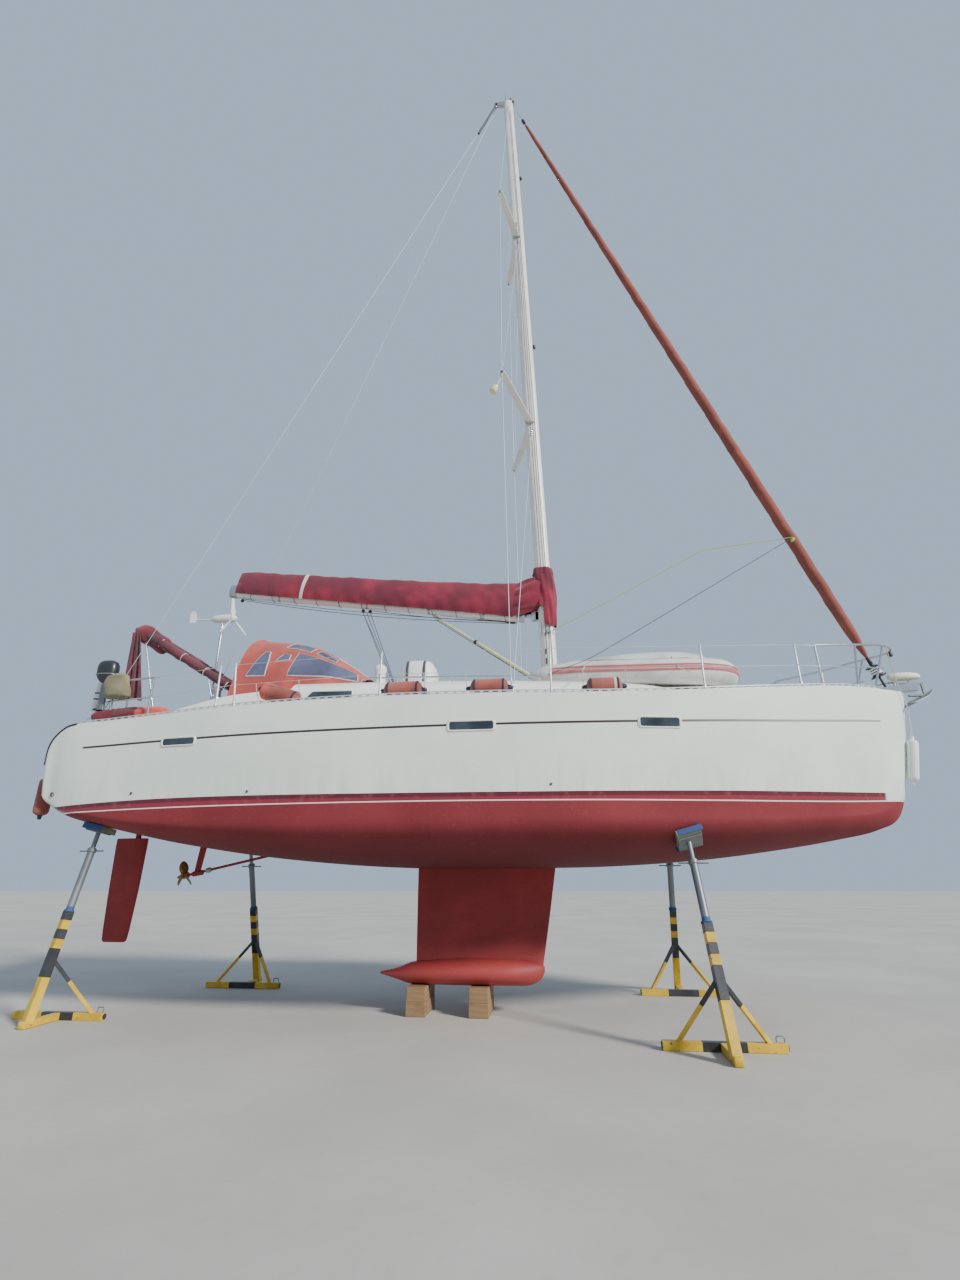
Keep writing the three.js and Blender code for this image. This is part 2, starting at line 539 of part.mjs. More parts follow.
// Mast: an oval tube that leans aft, with its head crane; two pairs of swept spreaders.
const mastX = (h) => MAST_BASE_X - h * MAST_RAKE;
const MAST = { footH: 1700, halfLong: 125, halfWide: 80, headLong: 105, headWide: 68, sides: 16 };
const mastRing = (h, long, wide) => Array.from({ length: MAST.sides }, (_, k) => {
  const turn = (2 * Math.PI * k) / MAST.sides;
  return vec(mastX(h) + long * Math.cos(turn), wide * Math.sin(turn), h);
});
const mastTube = loft([
  mastRing(MAST.footH, MAST.halfLong, MAST.halfWide),
  mastRing(12500, MAST.halfLong, MAST.halfWide),
  mastRing(MAST_HEAD, MAST.headLong, MAST.headWide),
]);
const crane = joined(
  block(mastX(MAST_HEAD) - 330, mastX(MAST_HEAD) + 150, -34, 34, z(MAST_HEAD - 90), z(MAST_HEAD + 30)),
  rod(vec(mastX(MAST_HEAD) - 60, 0, MAST_HEAD), vec(mastX(MAST_HEAD) - 60, 0, MAST_HEAD + 380), 7, 6),
  block(mastX(MAST_HEAD) + 20, mastX(MAST_HEAD) + 90, -35, 35, z(MAST_HEAD + 20), z(MAST_HEAD + 130)),
);
// The bracket that the gooseneck's pin stands in.
const bracket = joined(
  ...[-1, 1].map((end) => block(BOOM_PIVOT.x - 22, BOOM_PIVOT.x + 130, -30, 30,
    z(BOOM_PIVOT.h + end * 70 - 12), z(BOOM_PIVOT.h + end * 70 + 12))),
  block(BOOM_PIVOT.x + 40, BOOM_PIVOT.x + 130, -30, 30, z(BOOM_PIVOT.h - 80), z(BOOM_PIVOT.h + 80)),
);
const mast = without(joined(mastTube, crane, bracket), houseRaised);
add('mast', geometryOf(largest(mast)), SPAR_WHITE);
const mastGrown = (long, wide) => loft([
  mastRing(MAST.footH - 50, MAST.halfLong + long, MAST.halfWide + wide),
  mastRing(12500, MAST.halfLong + long, MAST.halfWide + wide),
  mastRing(MAST_HEAD + 50, MAST.headLong + long, MAST.headWide + wide),
]);
const mastSeat = mastGrown(SEAT_GAP * 1.2, SEAT_GAP * 1.2);

for (const level of ['lower', 'upper']) {
  const h = SPREADER_HEIGHTS[level];
  for (const [name, side] of [['port', 1], ['starboard', -1]]) {
    const root = vec(mastX(h) - 20, 0, h - 20);
    const tip = vec(SPREADER_TIP_X, side * SPREADER_TIPS[level], h + SPREADER_RISE);
    const arm = loft([[root, 68, 24], [tip, 46, 16]].map(([at, long, high]) => LENS.map(([c, f]) =>
      at.clone().add(new THREE.Vector3(c * long, 0, f * high)))));
    add(`spreader_${level}_${name}`, geometryOf(largest(without(arm, mastSeat))), SPAR_WHITE);
  }
}

// Stays. A cap shroud runs over both spreader tips and is one wire on each side.
const WIRE_RADIUS = 6;
const stay = (name, points, radius, ...cutters) => add(name,
  geometryOf(largest(without(pipe(points, radius, 6), ...cutters))), WIRE);
for (const [name, side] of [['port', 1], ['starboard', -1]]) {
  const overTip = (level) => vec(SPREADER_TIP_X, side * (SPREADER_TIPS[level] + WIRE_RADIUS + 4),
    SPREADER_HEIGHTS[level] + SPREADER_RISE);
  const deckH = edge(CHAINPLATE.x).h - 30;
  stay(`cap_shroud_${name}`, [vec(CHAINPLATE.x, side * CHAINPLATE.cap, deckH), overTip('lower'),
    overTip('upper'), vec(mastX(16050), side * 40, 16050)], WIRE_RADIUS, mastSeat, hullRaised, houseRaised);
  stay(`lower_shroud_${name}`, [vec(CHAINPLATE.x, side * CHAINPLATE.lower, deckH),
    vec(mastX(6860), side * 40, 6860)], WIRE_RADIUS - 1, mastSeat, hullRaised, houseRaised);
}
// Twin backstays, from under the crane to a chainplate on each quarter.
const BACKSTAY = {
  topX: mastX(MAST_HEAD) - 290, topY: 22, topH: MAST_HEAD - 93,
  footX: -5672, footY: 1185, footH: 1390,
};
for (const [name, side] of [['port', 1], ['starboard', -1]]) {
  const foot = vec(BACKSTAY.footX, side * BACKSTAY.footY, BACKSTAY.footH);
  const plate = block(foot.x - 24, foot.x + 24, foot.y - 9, foot.y + 9, foot.z - 110, foot.z + 22);
  const wire = pipe([vec(BACKSTAY.topX, side * BACKSTAY.topY, BACKSTAY.topH), foot], WIRE_RADIUS, 6);
  add(`backstay_${name}`, geometryOf(joined(wire, largest(without(plate, hullRaised)))), WIRE);
}

// Forestay with the furled headsail and its drum. Rows: distance up the stay, radius.
const FORESTAY = { footX: 5768, footH: 1760, headX: 700, headH: 16000 };
const stayFoot = vec(FORESTAY.footX, 0, FORESTAY.footH);
const stayHead = vec(FORESTAY.headX, 0, FORESTAY.headH);
const FURL = [
  [0, 18], [285, 18], [286, 105], [310, 105], [311, 70], [435, 70], [436, 105], [460, 105], [461, 30],
  [620, 32], [1040, 78], [2600, 92], [7000, 86], [11500, 62], [14000, 40], [14500, 24],
  [stayFoot.distanceTo(stayHead), 14],
];
const furled = turned(stayFoot, stayHead, FURL, 12);
add('forestay_furled_sail', geometryOf(largest(without(furled, mastSeat, mast.translate(SEAT_GAP, 0, 0),
  bowRoller.translate(0, 0, SEAT_GAP)))), CANVAS_RED);

// Boom on its gooseneck, with the rod vang below and the sail under its cover on top.
const boomRise = (BOOM_END.h - BOOM_PIVOT.h) / (BOOM_PIVOT.x - BOOM_END.x);
const boomAxis = (x) => BOOM_PIVOT.h + (BOOM_PIVOT.x - x) * boomRise;
const BOOM = { halfHigh: 115, halfWide: 66 };
const OCTAGON = [[-1, -0.6], [-0.6, -1], [0.6, -1], [1, -0.6], [1, 0.6], [0.6, 1], [-0.6, 1], [-1, 0.6]];
const boomRing = (x, grow = 0) => OCTAGON
  .map(([w, h]) => vec(x, w * (BOOM.halfWide + grow), boomAxis(x) + h * (BOOM.halfHigh + grow)));
const boomTube = loft([BOOM_END.x, BOOM_PIVOT.x - 130].map((x) => boomRing(x)));
const gooseneck = joined(
  block(BOOM_PIVOT.x - 170, BOOM_PIVOT.x + 12, -26, 26, z(BOOM_PIVOT.h - 30), z(BOOM_PIVOT.h + 30)),
  rod(vec(BOOM_PIVOT.x, 0, BOOM_PIVOT.h - 58 + SEAT_GAP),
    vec(BOOM_PIVOT.x, 0, BOOM_PIVOT.h + 58 - SEAT_GAP), 14, 12),
);
add('boom', geometryOf(joined(boomTube, gooseneck)), SPAR_WHITE);
const VANG = { boomX: -1000, mastX: 765, mastH: 2150, radius: 32 };
add('boom_vang', geometryOf(largest(without(joined(
  rod(vec(VANG.boomX, 0, boomAxis(VANG.boomX) - 60), vec(VANG.mastX, 0, VANG.mastH), VANG.radius, 10)),
loft([BOOM_END.x, BOOM_PIVOT.x].map((x) => boomRing(x, SEAT_GAP)))))), VANG_GREEN);

// Rows of the covered sail: x, bottom and top over the boom's middle, half width.
const COVER = [
  [-4430, -10, 330, 70],
  [-4300, -60, 400, 100],
  [-3200, -70, 420, 125],
  [-1200, -80, 470, 150],
  [-100, -90, 520, 170],
  [380, -110, 560, 175],
];
const COVER_SECTION = [[0.8, 0], [1, 0.22], [0.85, 0.6], [0.35, 1],
  [-0.35, 1], [-0.85, 0.6], [-1, 0.22], [-0.8, 0]];
const coverBody = loft(COVER.map(([x, low, high, half]) => COVER_SECTION
  .map(([w, t]) => vec(x, w * half, boomAxis(x) + low + t * (high - low)))));
add('sail_cover', geometryOf(largest(without(coverBody,
  loft([BOOM_END.x - 50, BOOM_PIVOT.x].map((x) => boomRing(x, SEAT_GAP)))))), CANVAS_RED);
// The cover's front, wrapped round the mast above and beside the gooseneck.
const COLLAR = { low: 3050, high: 4080, wall: 45 };
const collarRing = (h, grow) => mastRing(h, MAST.halfLong + grow, MAST.halfWide + grow);
const collar = without(
  loft([collarRing(COLLAR.low, 30), collarRing(COLLAR.low + 250, COLLAR.wall + 20),
    collarRing(COLLAR.high - 250, COLLAR.wall + 20), collarRing(COLLAR.high, 30)]),
  mastSeat,
  block(0, mastX(BOOM_PIVOT.h) - 60, -300, 300, z(COLLAR.low - 100), z(BOOM_PIVOT.h + 120)),
);
add('mast_collar', geometryOf(largest(collar)), CANVAS_RED);

// Steering pedestal and wheel.
const HELM = { x: -4330, h: 1560, radius: 480, wheelX: -4470 };
add('steering_pedestal', geometryOf(joined(
  rod(vec(HELM.x, 0, COCKPIT.soleH + SEAT_GAP), vec(HELM.x, 0, 1500), 95, 12, 75),
  block(HELM.x - 75, HELM.x + 110, -110, 110, z(1440), z(1640)),
  pipe([vec(HELM.x + 60, 230, COCKPIT.soleH + SEAT_GAP), vec(HELM.x + 60, 230, 1780),
    vec(HELM.x + 60, -230, 1780), vec(HELM.x + 60, -230, COCKPIT.soleH + SEAT_GAP)], 15, 8),
  rod(vec(HELM.x + 60, -230, 1500), vec(HELM.x + 60, 230, 1500), 15, 8),
)), PLASTIC_WHITE);
const wheelRim = new THREE.TorusGeometry(HELM.radius, 15, 6, 28);
wheelRim.rotateY(Math.PI / 2);
wheelRim.translate(HELM.wheelX, 0, z(HELM.h));
const spokes = [0, 1, 2, 3, 4].map((k) => {
  const turn = (2 * Math.PI * k) / 5;
  return rod(vec(HELM.wheelX, 0, HELM.h),
    vec(HELM.wheelX, HELM.radius * Math.sin(turn), HELM.h + HELM.radius * Math.cos(turn)), 9, 6);
});
add('steering_wheel', geometryOf(joined(solid(wheelRim), ...spokes,
  rod(vec(HELM.wheelX - 25, 0, HELM.h), vec(HELM.x - 75 - SEAT_GAP, 0, HELM.h), 40, 12))), STEEL);

// Winches on the coamings. Rows: height over the pad, radius.
const DRUM = [[0, 85], [60, 85], [110, 55], [160, 55], [190, 72], [205, 72], [215, 30]];
for (const [name, side] of [['port', 1], ['starboard', -1]]) {
  const y = side * WINCH.y;
  add(`winch_${name}`, geometryOf(turned(vec(WINCH.x, y, WINCH.seatH + SEAT_GAP),
    vec(WINCH.x, y, WINCH.seatH + 300), DRUM, 14)), STEEL);
}

// Sprayhood: three bows at a slant, with the cloth over them. Rows: foot x, top x, foot
// height, top height, half width at the foot.
const HOOD = [
  [-3600, -3540, 1750, 2880, 1090],
  [-3000, -2700, 1795, 2740, 1090],
  [-2350, -2130, 1880, 2410, 1070],
  [-1780, -1720, 1900, 2040, 980],
];
const HOOD_WALL = 22;
const ARCH = [[1, 0], [0.97, 0.45], [0.86, 0.8], [0.6, 0.96], [0.25, 1],
  [-0.25, 1], [-0.6, 0.96], [-0.86, 0.8], [-0.97, 0.45], [-1, 0]];
const hoodRing = ([footX, topX, footH, topH, half]) => {
  const arch = (shrink) => ARCH.map(([w, t]) => vec(footX + (topX - footX) * t, w * (half - shrink),
    footH + t * (topH - shrink - footH)));
  return [...arch(0), ...arch(HOOD_WALL).reverse()];
};
add('sprayhood', geometryOf(largest(without(loft(HOOD.map(hoodRing)), houseRaised))), CANVAS_RED);

// Bimini, folded aft: its bows and the cloth round them swing on a pin at each coaming.
const bundleAt = (t) => [BIMINI.pivotX + (BIMINI.topX - BIMINI.pivotX) * t,
  BIMINI.pivotH + (BIMINI.topH - BIMINI.pivotH) * t];
const bundlePoint = (t, y) => vec(bundleAt(t)[0], y, bundleAt(t)[1]);
// Rows from the port pin over to the starboard one: how far up the bows, place across, radius.
const BUNDLE = [[0, 1, 16], [0.05, 1, 16], [0.1, 1, 60], [0.9, 1, 78], [1, 0.86, 85],
  [1, -0.86, 85], [0.9, -1, 78], [0.1, -1, 60], [0.05, -1, 16], [0, -1, 16]];
add('bimini', geometryOf(joined(
  pipe(BUNDLE.map(([t, across]) => bundlePoint(t, across * BIMINI.halfWidth)),
    BUNDLE.map(([, , r]) => r), 8),
  ...[-1, 1].map((side) => rod(bundlePoint(0.62, side * BIMINI.halfWidth),
    vec(-4930, side * BIMINI.halfWidth, 1530), 13, 8)),
)), CANVAS_RED);

// Dinghy, upside down on the coachroof: two tubes that meet at the bow, a floor and a transom.
// Rows of the port tube from its aft end: x, y, height of its middle, radius.
const PORT_TUBE = [[640, 540, 2085, 50], [850, 540, 2085, 130], [1150, 540, 2085, 170],
  [1400, 540, 2085, 190], [2600, 540, 2070, 190], [3080, 470, 2075, 195],
  [3400, 260, 2095, 200], [3500, 0, 2100, 200]];
const starboardTube = PORT_TUBE.slice(0, -1).reverse().map(([x, y, h, radius]) => [x, -y, h, radius]);
const tubeLine = [...PORT_TUBE, ...starboardTube];
const dinghyTube = pipe(tubeLine.map(([x, y, h]) => vec(x, y, h)),
  tubeLine.map(([, , , radius]) => radius), 10);
// Rows of the floor: x, half width, height at the tubes, height of its ridge.
const dinghyFloor = loft([
  [1150, 520, 2180, 2330], [1900, 520, 2200, 2450], [2700, 500, 2190, 2480], [3200, 330, 2180, 2430],
  [3450, 90, 2160, 2310],
].map(([x, half, low, high]) => {
  const shoulder = (low + high) / 2 + 40;
  return [vec(x, half, low), vec(x, half * 0.5, shoulder), vec(x, 0, high), vec(x, -half * 0.5, shoulder),
    vec(x, -half, low), vec(x, -half, low - 60), vec(x, half, low - 60)];
}));
const dinghyTransom = block(1140, 1180, -480, 480, z(1960), z(2200));
add('dinghy', geometryOf(largest(without(joined(dinghyTube, dinghyFloor, dinghyTransom), houseRaised,
  mastSeat))), RUBBER_GREY);

// Fenders in their covers on the starboard deck, one at the stem and one at the transom.
const bolster = (from, to, radius) => {
  const length = from.distanceTo(to);
  return turned(from, to, [[0, radius * 0.35], [radius * 0.35, radius * 0.8], [radius * 0.9, radius],
    [length - radius * 0.9, radius], [length - radius * 0.35, radius * 0.8], [length, radius * 0.35]], 12);
};
// Rows of the deck fenders: aft end, fore end, how much higher the aft end lies.
const DECK_FENDERS = [[-2980, -2330, 60], [-1270, -640, 0], [-140, 470, 0], [1330, 1900, 0]];
const FENDER_RADIUS = 125;
const STERN_FENDER = 105;
for (const [i, [aft, fore, tilt]] of DECK_FENDERS.entries()) {
  const { y, h } = edge((aft + fore) / 2, 62 + FENDER_RADIUS + 20);
  const low = h + FENDER_RADIUS - 4;
  const toeRail = block(aft - 100, fore + 100, -1990, -y - FENDER_RADIUS - 3, z(1000), z(h + 60));
  const body = bolster(vec(aft, -y, low + tilt), vec(fore, -y, low), FENDER_RADIUS);
  add(`fender_${i + 1}`, geometryOf(largest(without(body, hullRaised, houseRaised, toeRail))), FADED_RED);
}
add('fender_bow', geometryOf(largest(without(bolster(vec(5750, -78, 470), vec(5870, -88, 1120), 78),
  bareHull.translate(0, -SEAT_GAP, 0)))), PLASTIC_WHITE);
const sternFenderX = STERN_FENDER - PART_REACH;
add('fender_stern', geometryOf(largest(without(
  bolster(vec(sternFenderX, -1120, 720), vec(sternFenderX, -1120, 80), STERN_FENDER),
  bareHull.translate(-SEAT_GAP, 0, 0)))), FADED_RED);

// Outboard engine of the dinghy, clamped on the starboard pushpit.
const outboardX = -5400;
const outboardY = -1404;
// Rows of the cowl: height, half length, half width.
const COWL = [[1980, 95, 60], [2080, 150, 95], [2230, 150, 95], [2290, 100, 60]];
const outboard = joined(
  loft(COWL.map(([h, long, wide]) => OCTAGON
    .map(([b, a]) => vec(outboardX + a * long, outboardY + b * wide, h)))),
  block(outboardX - 30, outboardX + 30, outboardY - 25, outboardY + 25, z(1560), z(1990)),
  block(outboardX - 55, outboardX + 55, outboardY + 10, outboardY + 95, z(1930), z(2020)),
);
add('outboard_engine', geometryOf(without(outboard, quarterRail(-1, PUSHPIT_H, RAIL_TUBE + SEAT_GAP),
  quarterRail(-1, PUSHPIT_H - 290, RAIL_TUBE + SEAT_GAP))), BLACK);

// A canister for the raft on the coachroof.
// Rows: height, half length, half width.
const CANISTER = [[1850, 265, 300], [2210, 265, 300], [2340, 190, 240]];
const canister = loft(CANISTER.map(([h, long, wide]) => OCTAGON
  .map(([a, b]) => vec(-1025 + a * long, -480 + b * wide, h))));
add('raft_canister', geometryOf(largest(without(canister, houseRaised))), PLASTIC_WHITE);

// Wind generator on its pole at the port quarter.
const GENERATOR = { x: -5330, y: 1180, h: 4020, blade: 580 };
add('generator_pole', geometryOf(largest(without(rod(vec(GENERATOR.x, GENERATOR.y, 1250),
  vec(GENERATOR.x, GENERATOR.y, GENERATOR.h - 120), 24, 10), hullRaised))), SPAR_WHITE);
add('generator_head', geometryOf(joined(
  rod(vec(GENERATOR.x, GENERATOR.y, GENERATOR.h - 120 + SEAT_GAP),
    vec(GENERATOR.x, GENERATOR.y, GENERATOR.h), 30, 10),
  turned(vec(GENERATOR.x - 260, GENERATOR.y, GENERATOR.h), vec(GENERATOR.x + 170, GENERATOR.y, GENERATOR.h),
    [[0, 30], [90, 70], [430, 85]], 12),
  block(GENERATOR.x - 560, GENERATOR.x - 230, GENERATOR.y - 4, GENERATOR.y + 4, z(GENERATOR.h - 15),
    z(GENERATOR.h + 15)),
  block(GENERATOR.x - 700, GENERATOR.x - 540, GENERATOR.y - 4, GENERATOR.y + 4, z(GENERATOR.h - 60),
    z(GENERATOR.h + 200)),
)), SPAR_WHITE);
const rotorX = GENERATOR.x + 170 + SEAT_GAP;
const rotorBlades = [0, 120, 240].map((degrees) => {
  const turn = THREE.MathUtils.degToRad(degrees);
  const outward = new THREE.Vector3(0, Math.sin(turn), Math.cos(turn));
  const chord = new THREE.Vector3(0.35, outward.z, -outward.y).normalize();
  const flat = chord.clone().cross(outward);
  return loft([[20, 30, 8], [120, 50, 7], [GENERATOR.blade, 22, 3]].map(([radius, half, thick]) =>
    [[1, 0], [0, 1], [-1, 0], [0, -1]].map(([c, f]) => vec(rotorX + 35, GENERATOR.y, GENERATOR.h)
      .addScaledVector(outward, radius).addScaledVector(chord, c * half).addScaledVector(flat, f * thick))));
});
add('generator_rotor', geometryOf(joined(
  turned(vec(rotorX, GENERATOR.y, GENERATOR.h), vec(rotorX + 110, GENERATOR.y, GENERATOR.h),
    [[0, 30], [6, 30], [7, 75], [60, 70], [110, 15]], 12), ...rotorBlades)), PLASTIC_WHITE);

// Boarding ladder, folded up between its lugs.
const ladderRail = (side) => rod(vec(LADDER.x, side * LADDER.half, LADDER.h - LADDER.tube + 1),
  vec(LADDER.x, side * LADDER.half, LADDER.topH), LADDER.tube, 8);
const rungs = [0, 1, 2, 3].map((k) => rod(vec(LADDER.x, -LADDER.half, LADDER.h + 60 + k * 235),
  vec(LADDER.x, LADDER.half, LADDER.h + 60 + k * 235), LADDER.tube - 1, 8));
add('boarding_ladder', geometryOf(joined(ladderRail(1), ladderRail(-1), ...rungs)), STEEL);

// Keel blocks: two baulks laid crosswise under the keel.
for (const [name, x0, x1] of [['aft', -1110, -850], ['fore', -290, -30]]) {
  add(`keel_block_${name}`, geometryOf(block(x0, x1, -330, 330, 0, z(-DRAFT) - SEAT_GAP)), TIMBER);
}

// Boat stands: a cross bar and a leg on the ground, a leaning column with two braces, and a
// screw with a pad against the hull.
const STAND = { legReach: 520, halfBar: 620, tube: 45, column: 1250 };
for (const { name, x, foot: footY, side, padX, padY } of STAND_PLACES) {
  const barY = footY - STAND.legReach;
  const at = (px, y, height) => new THREE.Vector3(px, side * y, height);
  const foot = at(x, footY, STAND.tube);
  const pad = new THREE.Vector3(padX, side * padY, z(bottomH(padX, padY)));
  const lean = pad.clone().sub(foot).normalize();
  const columnTop = foot.clone().addScaledVector(lean, STAND.column);
  const braceTop = foot.clone().addScaledVector(lean, STAND.column * 0.42);
  const hullBesidePad = bareHull.translate(0, side * SEAT_GAP, -SEAT_GAP);
  const beyond = pad.clone().addScaledVector(lean, 400);
  const screw = rod(foot.clone().addScaledVector(lean, STAND.column - 60), beyond, 30, 10);
  const padBlock = bar(pad.clone().addScaledVector(lean, -60), beyond, 290, 190);
  const frame = joined(
    block(x - STAND.halfBar, x + STAND.halfBar, ...ordered(side * (barY - STAND.tube),
      side * (barY + STAND.tube)), 0, 2 * STAND.tube),
    block(x - STAND.tube, x + STAND.tube, ...ordered(side * (barY - 20), side * (footY + 90)),
      0, 2 * STAND.tube),
    bar(foot, columnTop, 84, 84),
    bar(braceTop, at(x - STAND.halfBar + 60, barY, STAND.tube), 44, 44),
    bar(braceTop, at(x + STAND.halfBar - 60, barY, STAND.tube), 44, 44),
    largest(without(screw, hullBesidePad)),
    largest(without(padBlock, hullBesidePad)),
  );
  add(`stand_${name}`, geometryOf(largest(frame)), YELLOW);
}

export default yacht;
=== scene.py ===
"""A cruising sailing yacht laid up ashore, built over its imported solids.

Metres. +X runs to the bow, +Y to port, +Z up, and the ground is z = 0. Heights named h are
counted from the waterline.
"""
from math import copysign, cos, exp, pi, radians, sin

import bmesh
import bpy
from mathutils import Matrix, Vector


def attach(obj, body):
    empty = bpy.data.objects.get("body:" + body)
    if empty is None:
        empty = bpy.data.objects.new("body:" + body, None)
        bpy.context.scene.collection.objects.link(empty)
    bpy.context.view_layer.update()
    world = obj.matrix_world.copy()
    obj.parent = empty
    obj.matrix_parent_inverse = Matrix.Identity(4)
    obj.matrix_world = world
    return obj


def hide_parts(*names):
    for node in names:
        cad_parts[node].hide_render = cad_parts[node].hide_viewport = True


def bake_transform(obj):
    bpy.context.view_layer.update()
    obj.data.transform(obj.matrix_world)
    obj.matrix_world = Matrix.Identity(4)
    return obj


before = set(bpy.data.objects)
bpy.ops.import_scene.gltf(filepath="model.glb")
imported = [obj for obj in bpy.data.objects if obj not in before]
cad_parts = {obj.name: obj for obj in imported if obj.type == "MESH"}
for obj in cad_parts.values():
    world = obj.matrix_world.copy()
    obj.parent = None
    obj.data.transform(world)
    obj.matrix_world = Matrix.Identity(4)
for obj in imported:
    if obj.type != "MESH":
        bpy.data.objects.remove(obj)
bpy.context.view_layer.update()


# Camera: a wide lens held at head height on the starboard side, tilted well up and turned a
# little to the stern, as the fit to the photograph gives it.
LENS_MM, SENSOR_MM = 17.813, 36
CAMERA_PLACE = (1.015, -9.451, 1.656)
CAMERA_UP, CAMERA_TURN, CAMERA_ROLL = (radians(a) for a in (20.682, 7.142, -.135))
camera = bpy.data.objects.new("camera", bpy.data.cameras.new("camera"))
camera.data.sensor_width, camera.data.lens = SENSOR_MM, LENS_MM
camera.matrix_world = (Matrix.Translation(CAMERA_PLACE) @ Matrix.Rotation(CAMERA_TURN, 4,
    "Z") @ Matrix.Rotation(pi / 2 + CAMERA_UP, 4, "X") @ Matrix.Rotation(CAMERA_ROLL, 4, "Z"))
bpy.context.collection.objects.link(camera)
bpy.context.scene.camera = camera


# Hull: a moulding in polyester and glass, gelcoated off-white, with a grooved stripe under the
# sheer, a two-tone boot stripe at the waterline and red antifouling rolled on below it. The
# cockpit, its footwell, the companionway and the bathing step are sunk into the deck moulding.
WATERLINE = 2.363
DECK_CROWN = .07
# x, keel line, turn of the bilge (height, half breadth), deck edge (height, half breadth), fullness
HULL_ROWS = [(-6.16, .4, .5, 1.29, .77, 1.35, 1.), (-6.115, .24, .4, 1.33, 1.03, 1.4, .9),
    (-6., .15, .33, 1.33, 1.21, 1.43, .85), (-5.78, .06, .23, 1.38, 1.325, 1.48, .8),
    (-5.25, -.06, .12, 1.46, 1.355, 1.54, .8), (-4.3, -.25, .02, 1.6, 1.39, 1.67, .8),
    (-3., -.43, 0, 1.73, 1.44, 1.83, .8), (-1.4, -.55, 0, 1.83, 1.46, 1.92, .82),
    (.2, -.565, 0, 1.845, 1.45, 1.93, .85), (1.6, -.55, 0, 1.7, 1.44, 1.83, .92),
    (2.9, -.47, 0, 1.33, 1.49, 1.59, 1.), (3.9, -.35, .02, .9, 1.58, 1.25, 1.15),
    (4.7, -.22, .06, .51, 1.67, .88, 1.35), (5.25, -.09, .14, .26, 1.725, .54, 1.6),
    (5.56, .13, .38, .12, 1.755, .3, 1.8), (5.78, .85, 1., .06, 1.775, .13, 2.),
    (5.925, 1.69, 1.72, .018, 1.785, .032, 2.),]


def at(x, y, h):
    return Vector((x, y, WATERLINE + h))


def turns(count):
    """Angles that share a full turn equally."""
    return [2 * pi * k / count for k in range(count)]


def spread(start, end, steps):
    """Values at equal steps, from start to end."""
    return [start + (end - start) * k / steps for k in range(steps + 1)]


def curve_through(rows, column):
    """A smooth curve through one column of a table, over its first."""
    def slope(i):
        a, b = rows[max(i - 1, 0)], rows[min(i + 1, len(rows) - 1)]
        return (b[column] - a[column]) / (b[0] - a[0])

    def value(x):
        i = max([k for k in range(len(rows) - 1) if rows[k][0] <= x], default=0)
        a, b = rows[i], rows[i + 1]
        span = b[0] - a[0]
        t = min(max((x - a[0]) / span, 0), 1)
        return ((2 * t**3 - 3 * t**2 + 1) * a[column] + (t**3 - 2 * t**2 + t) * span * slope(i)
            + (3 * t**2 - 2 * t**3) * b[column] + (t**3 - t**2) * span * slope(i + 1))
    return value


keel_h, turn_h, turn_y, deck_h, deck_y, fullness = (curve_through(HULL_ROWS, k) for k in range(1, 7))


def hull_half(x, h):
    """The hull's half breadth at a height."""
    if h > turn_h(x):
        share = min(1, (h - turn_h(x)) / (deck_h(x) - turn_h(x)))
        return turn_y(x) + (deck_y(x) - turn_y(x)) * (1 - (1 - share) ** 1.5)
    across = max(0, (turn_h(x) - h) / (turn_h(x) - keel_h(x))) ** (1 / fullness(x))
    return turn_y(x) * max(0, 1 - across**2) ** (fullness(x) / 2)


def deck_top(x, y=0.):
    crown = DECK_CROWN * min(1, deck_y(x) / 1.5)
    return deck_h(x) + crown * (1 - (y / deck_y(x)) ** 2)


def on_side(x, h, out, side=-1):
    return at(x, side * (hull_half(x, h) + out), h)


def eased(path, reach, closed=False, steps=4):
    """The same path with each corner rounded, from reach before it to reach after it."""
    path = [Vector(p) for p in path]
    count = len(path)
    line = [] if closed else [path[0]]
    for i in range(0 if closed else 1, count if closed else count - 1):
        corner, before, after = path[i], path[i - 1], path[(i + 1) % count]
        cut = [corner + (end - corner) * min(.5, reach / max((end - corner).length, 1e-6))
            for end in (before, after)]
        for k in range(steps + 1):
            t = k / steps
            line.append(cut[0] * (1 - t) ** 2 + corner * 2 * t * (1 - t) + cut[1] * t**2)
    return line if closed else line + [path[-1]]


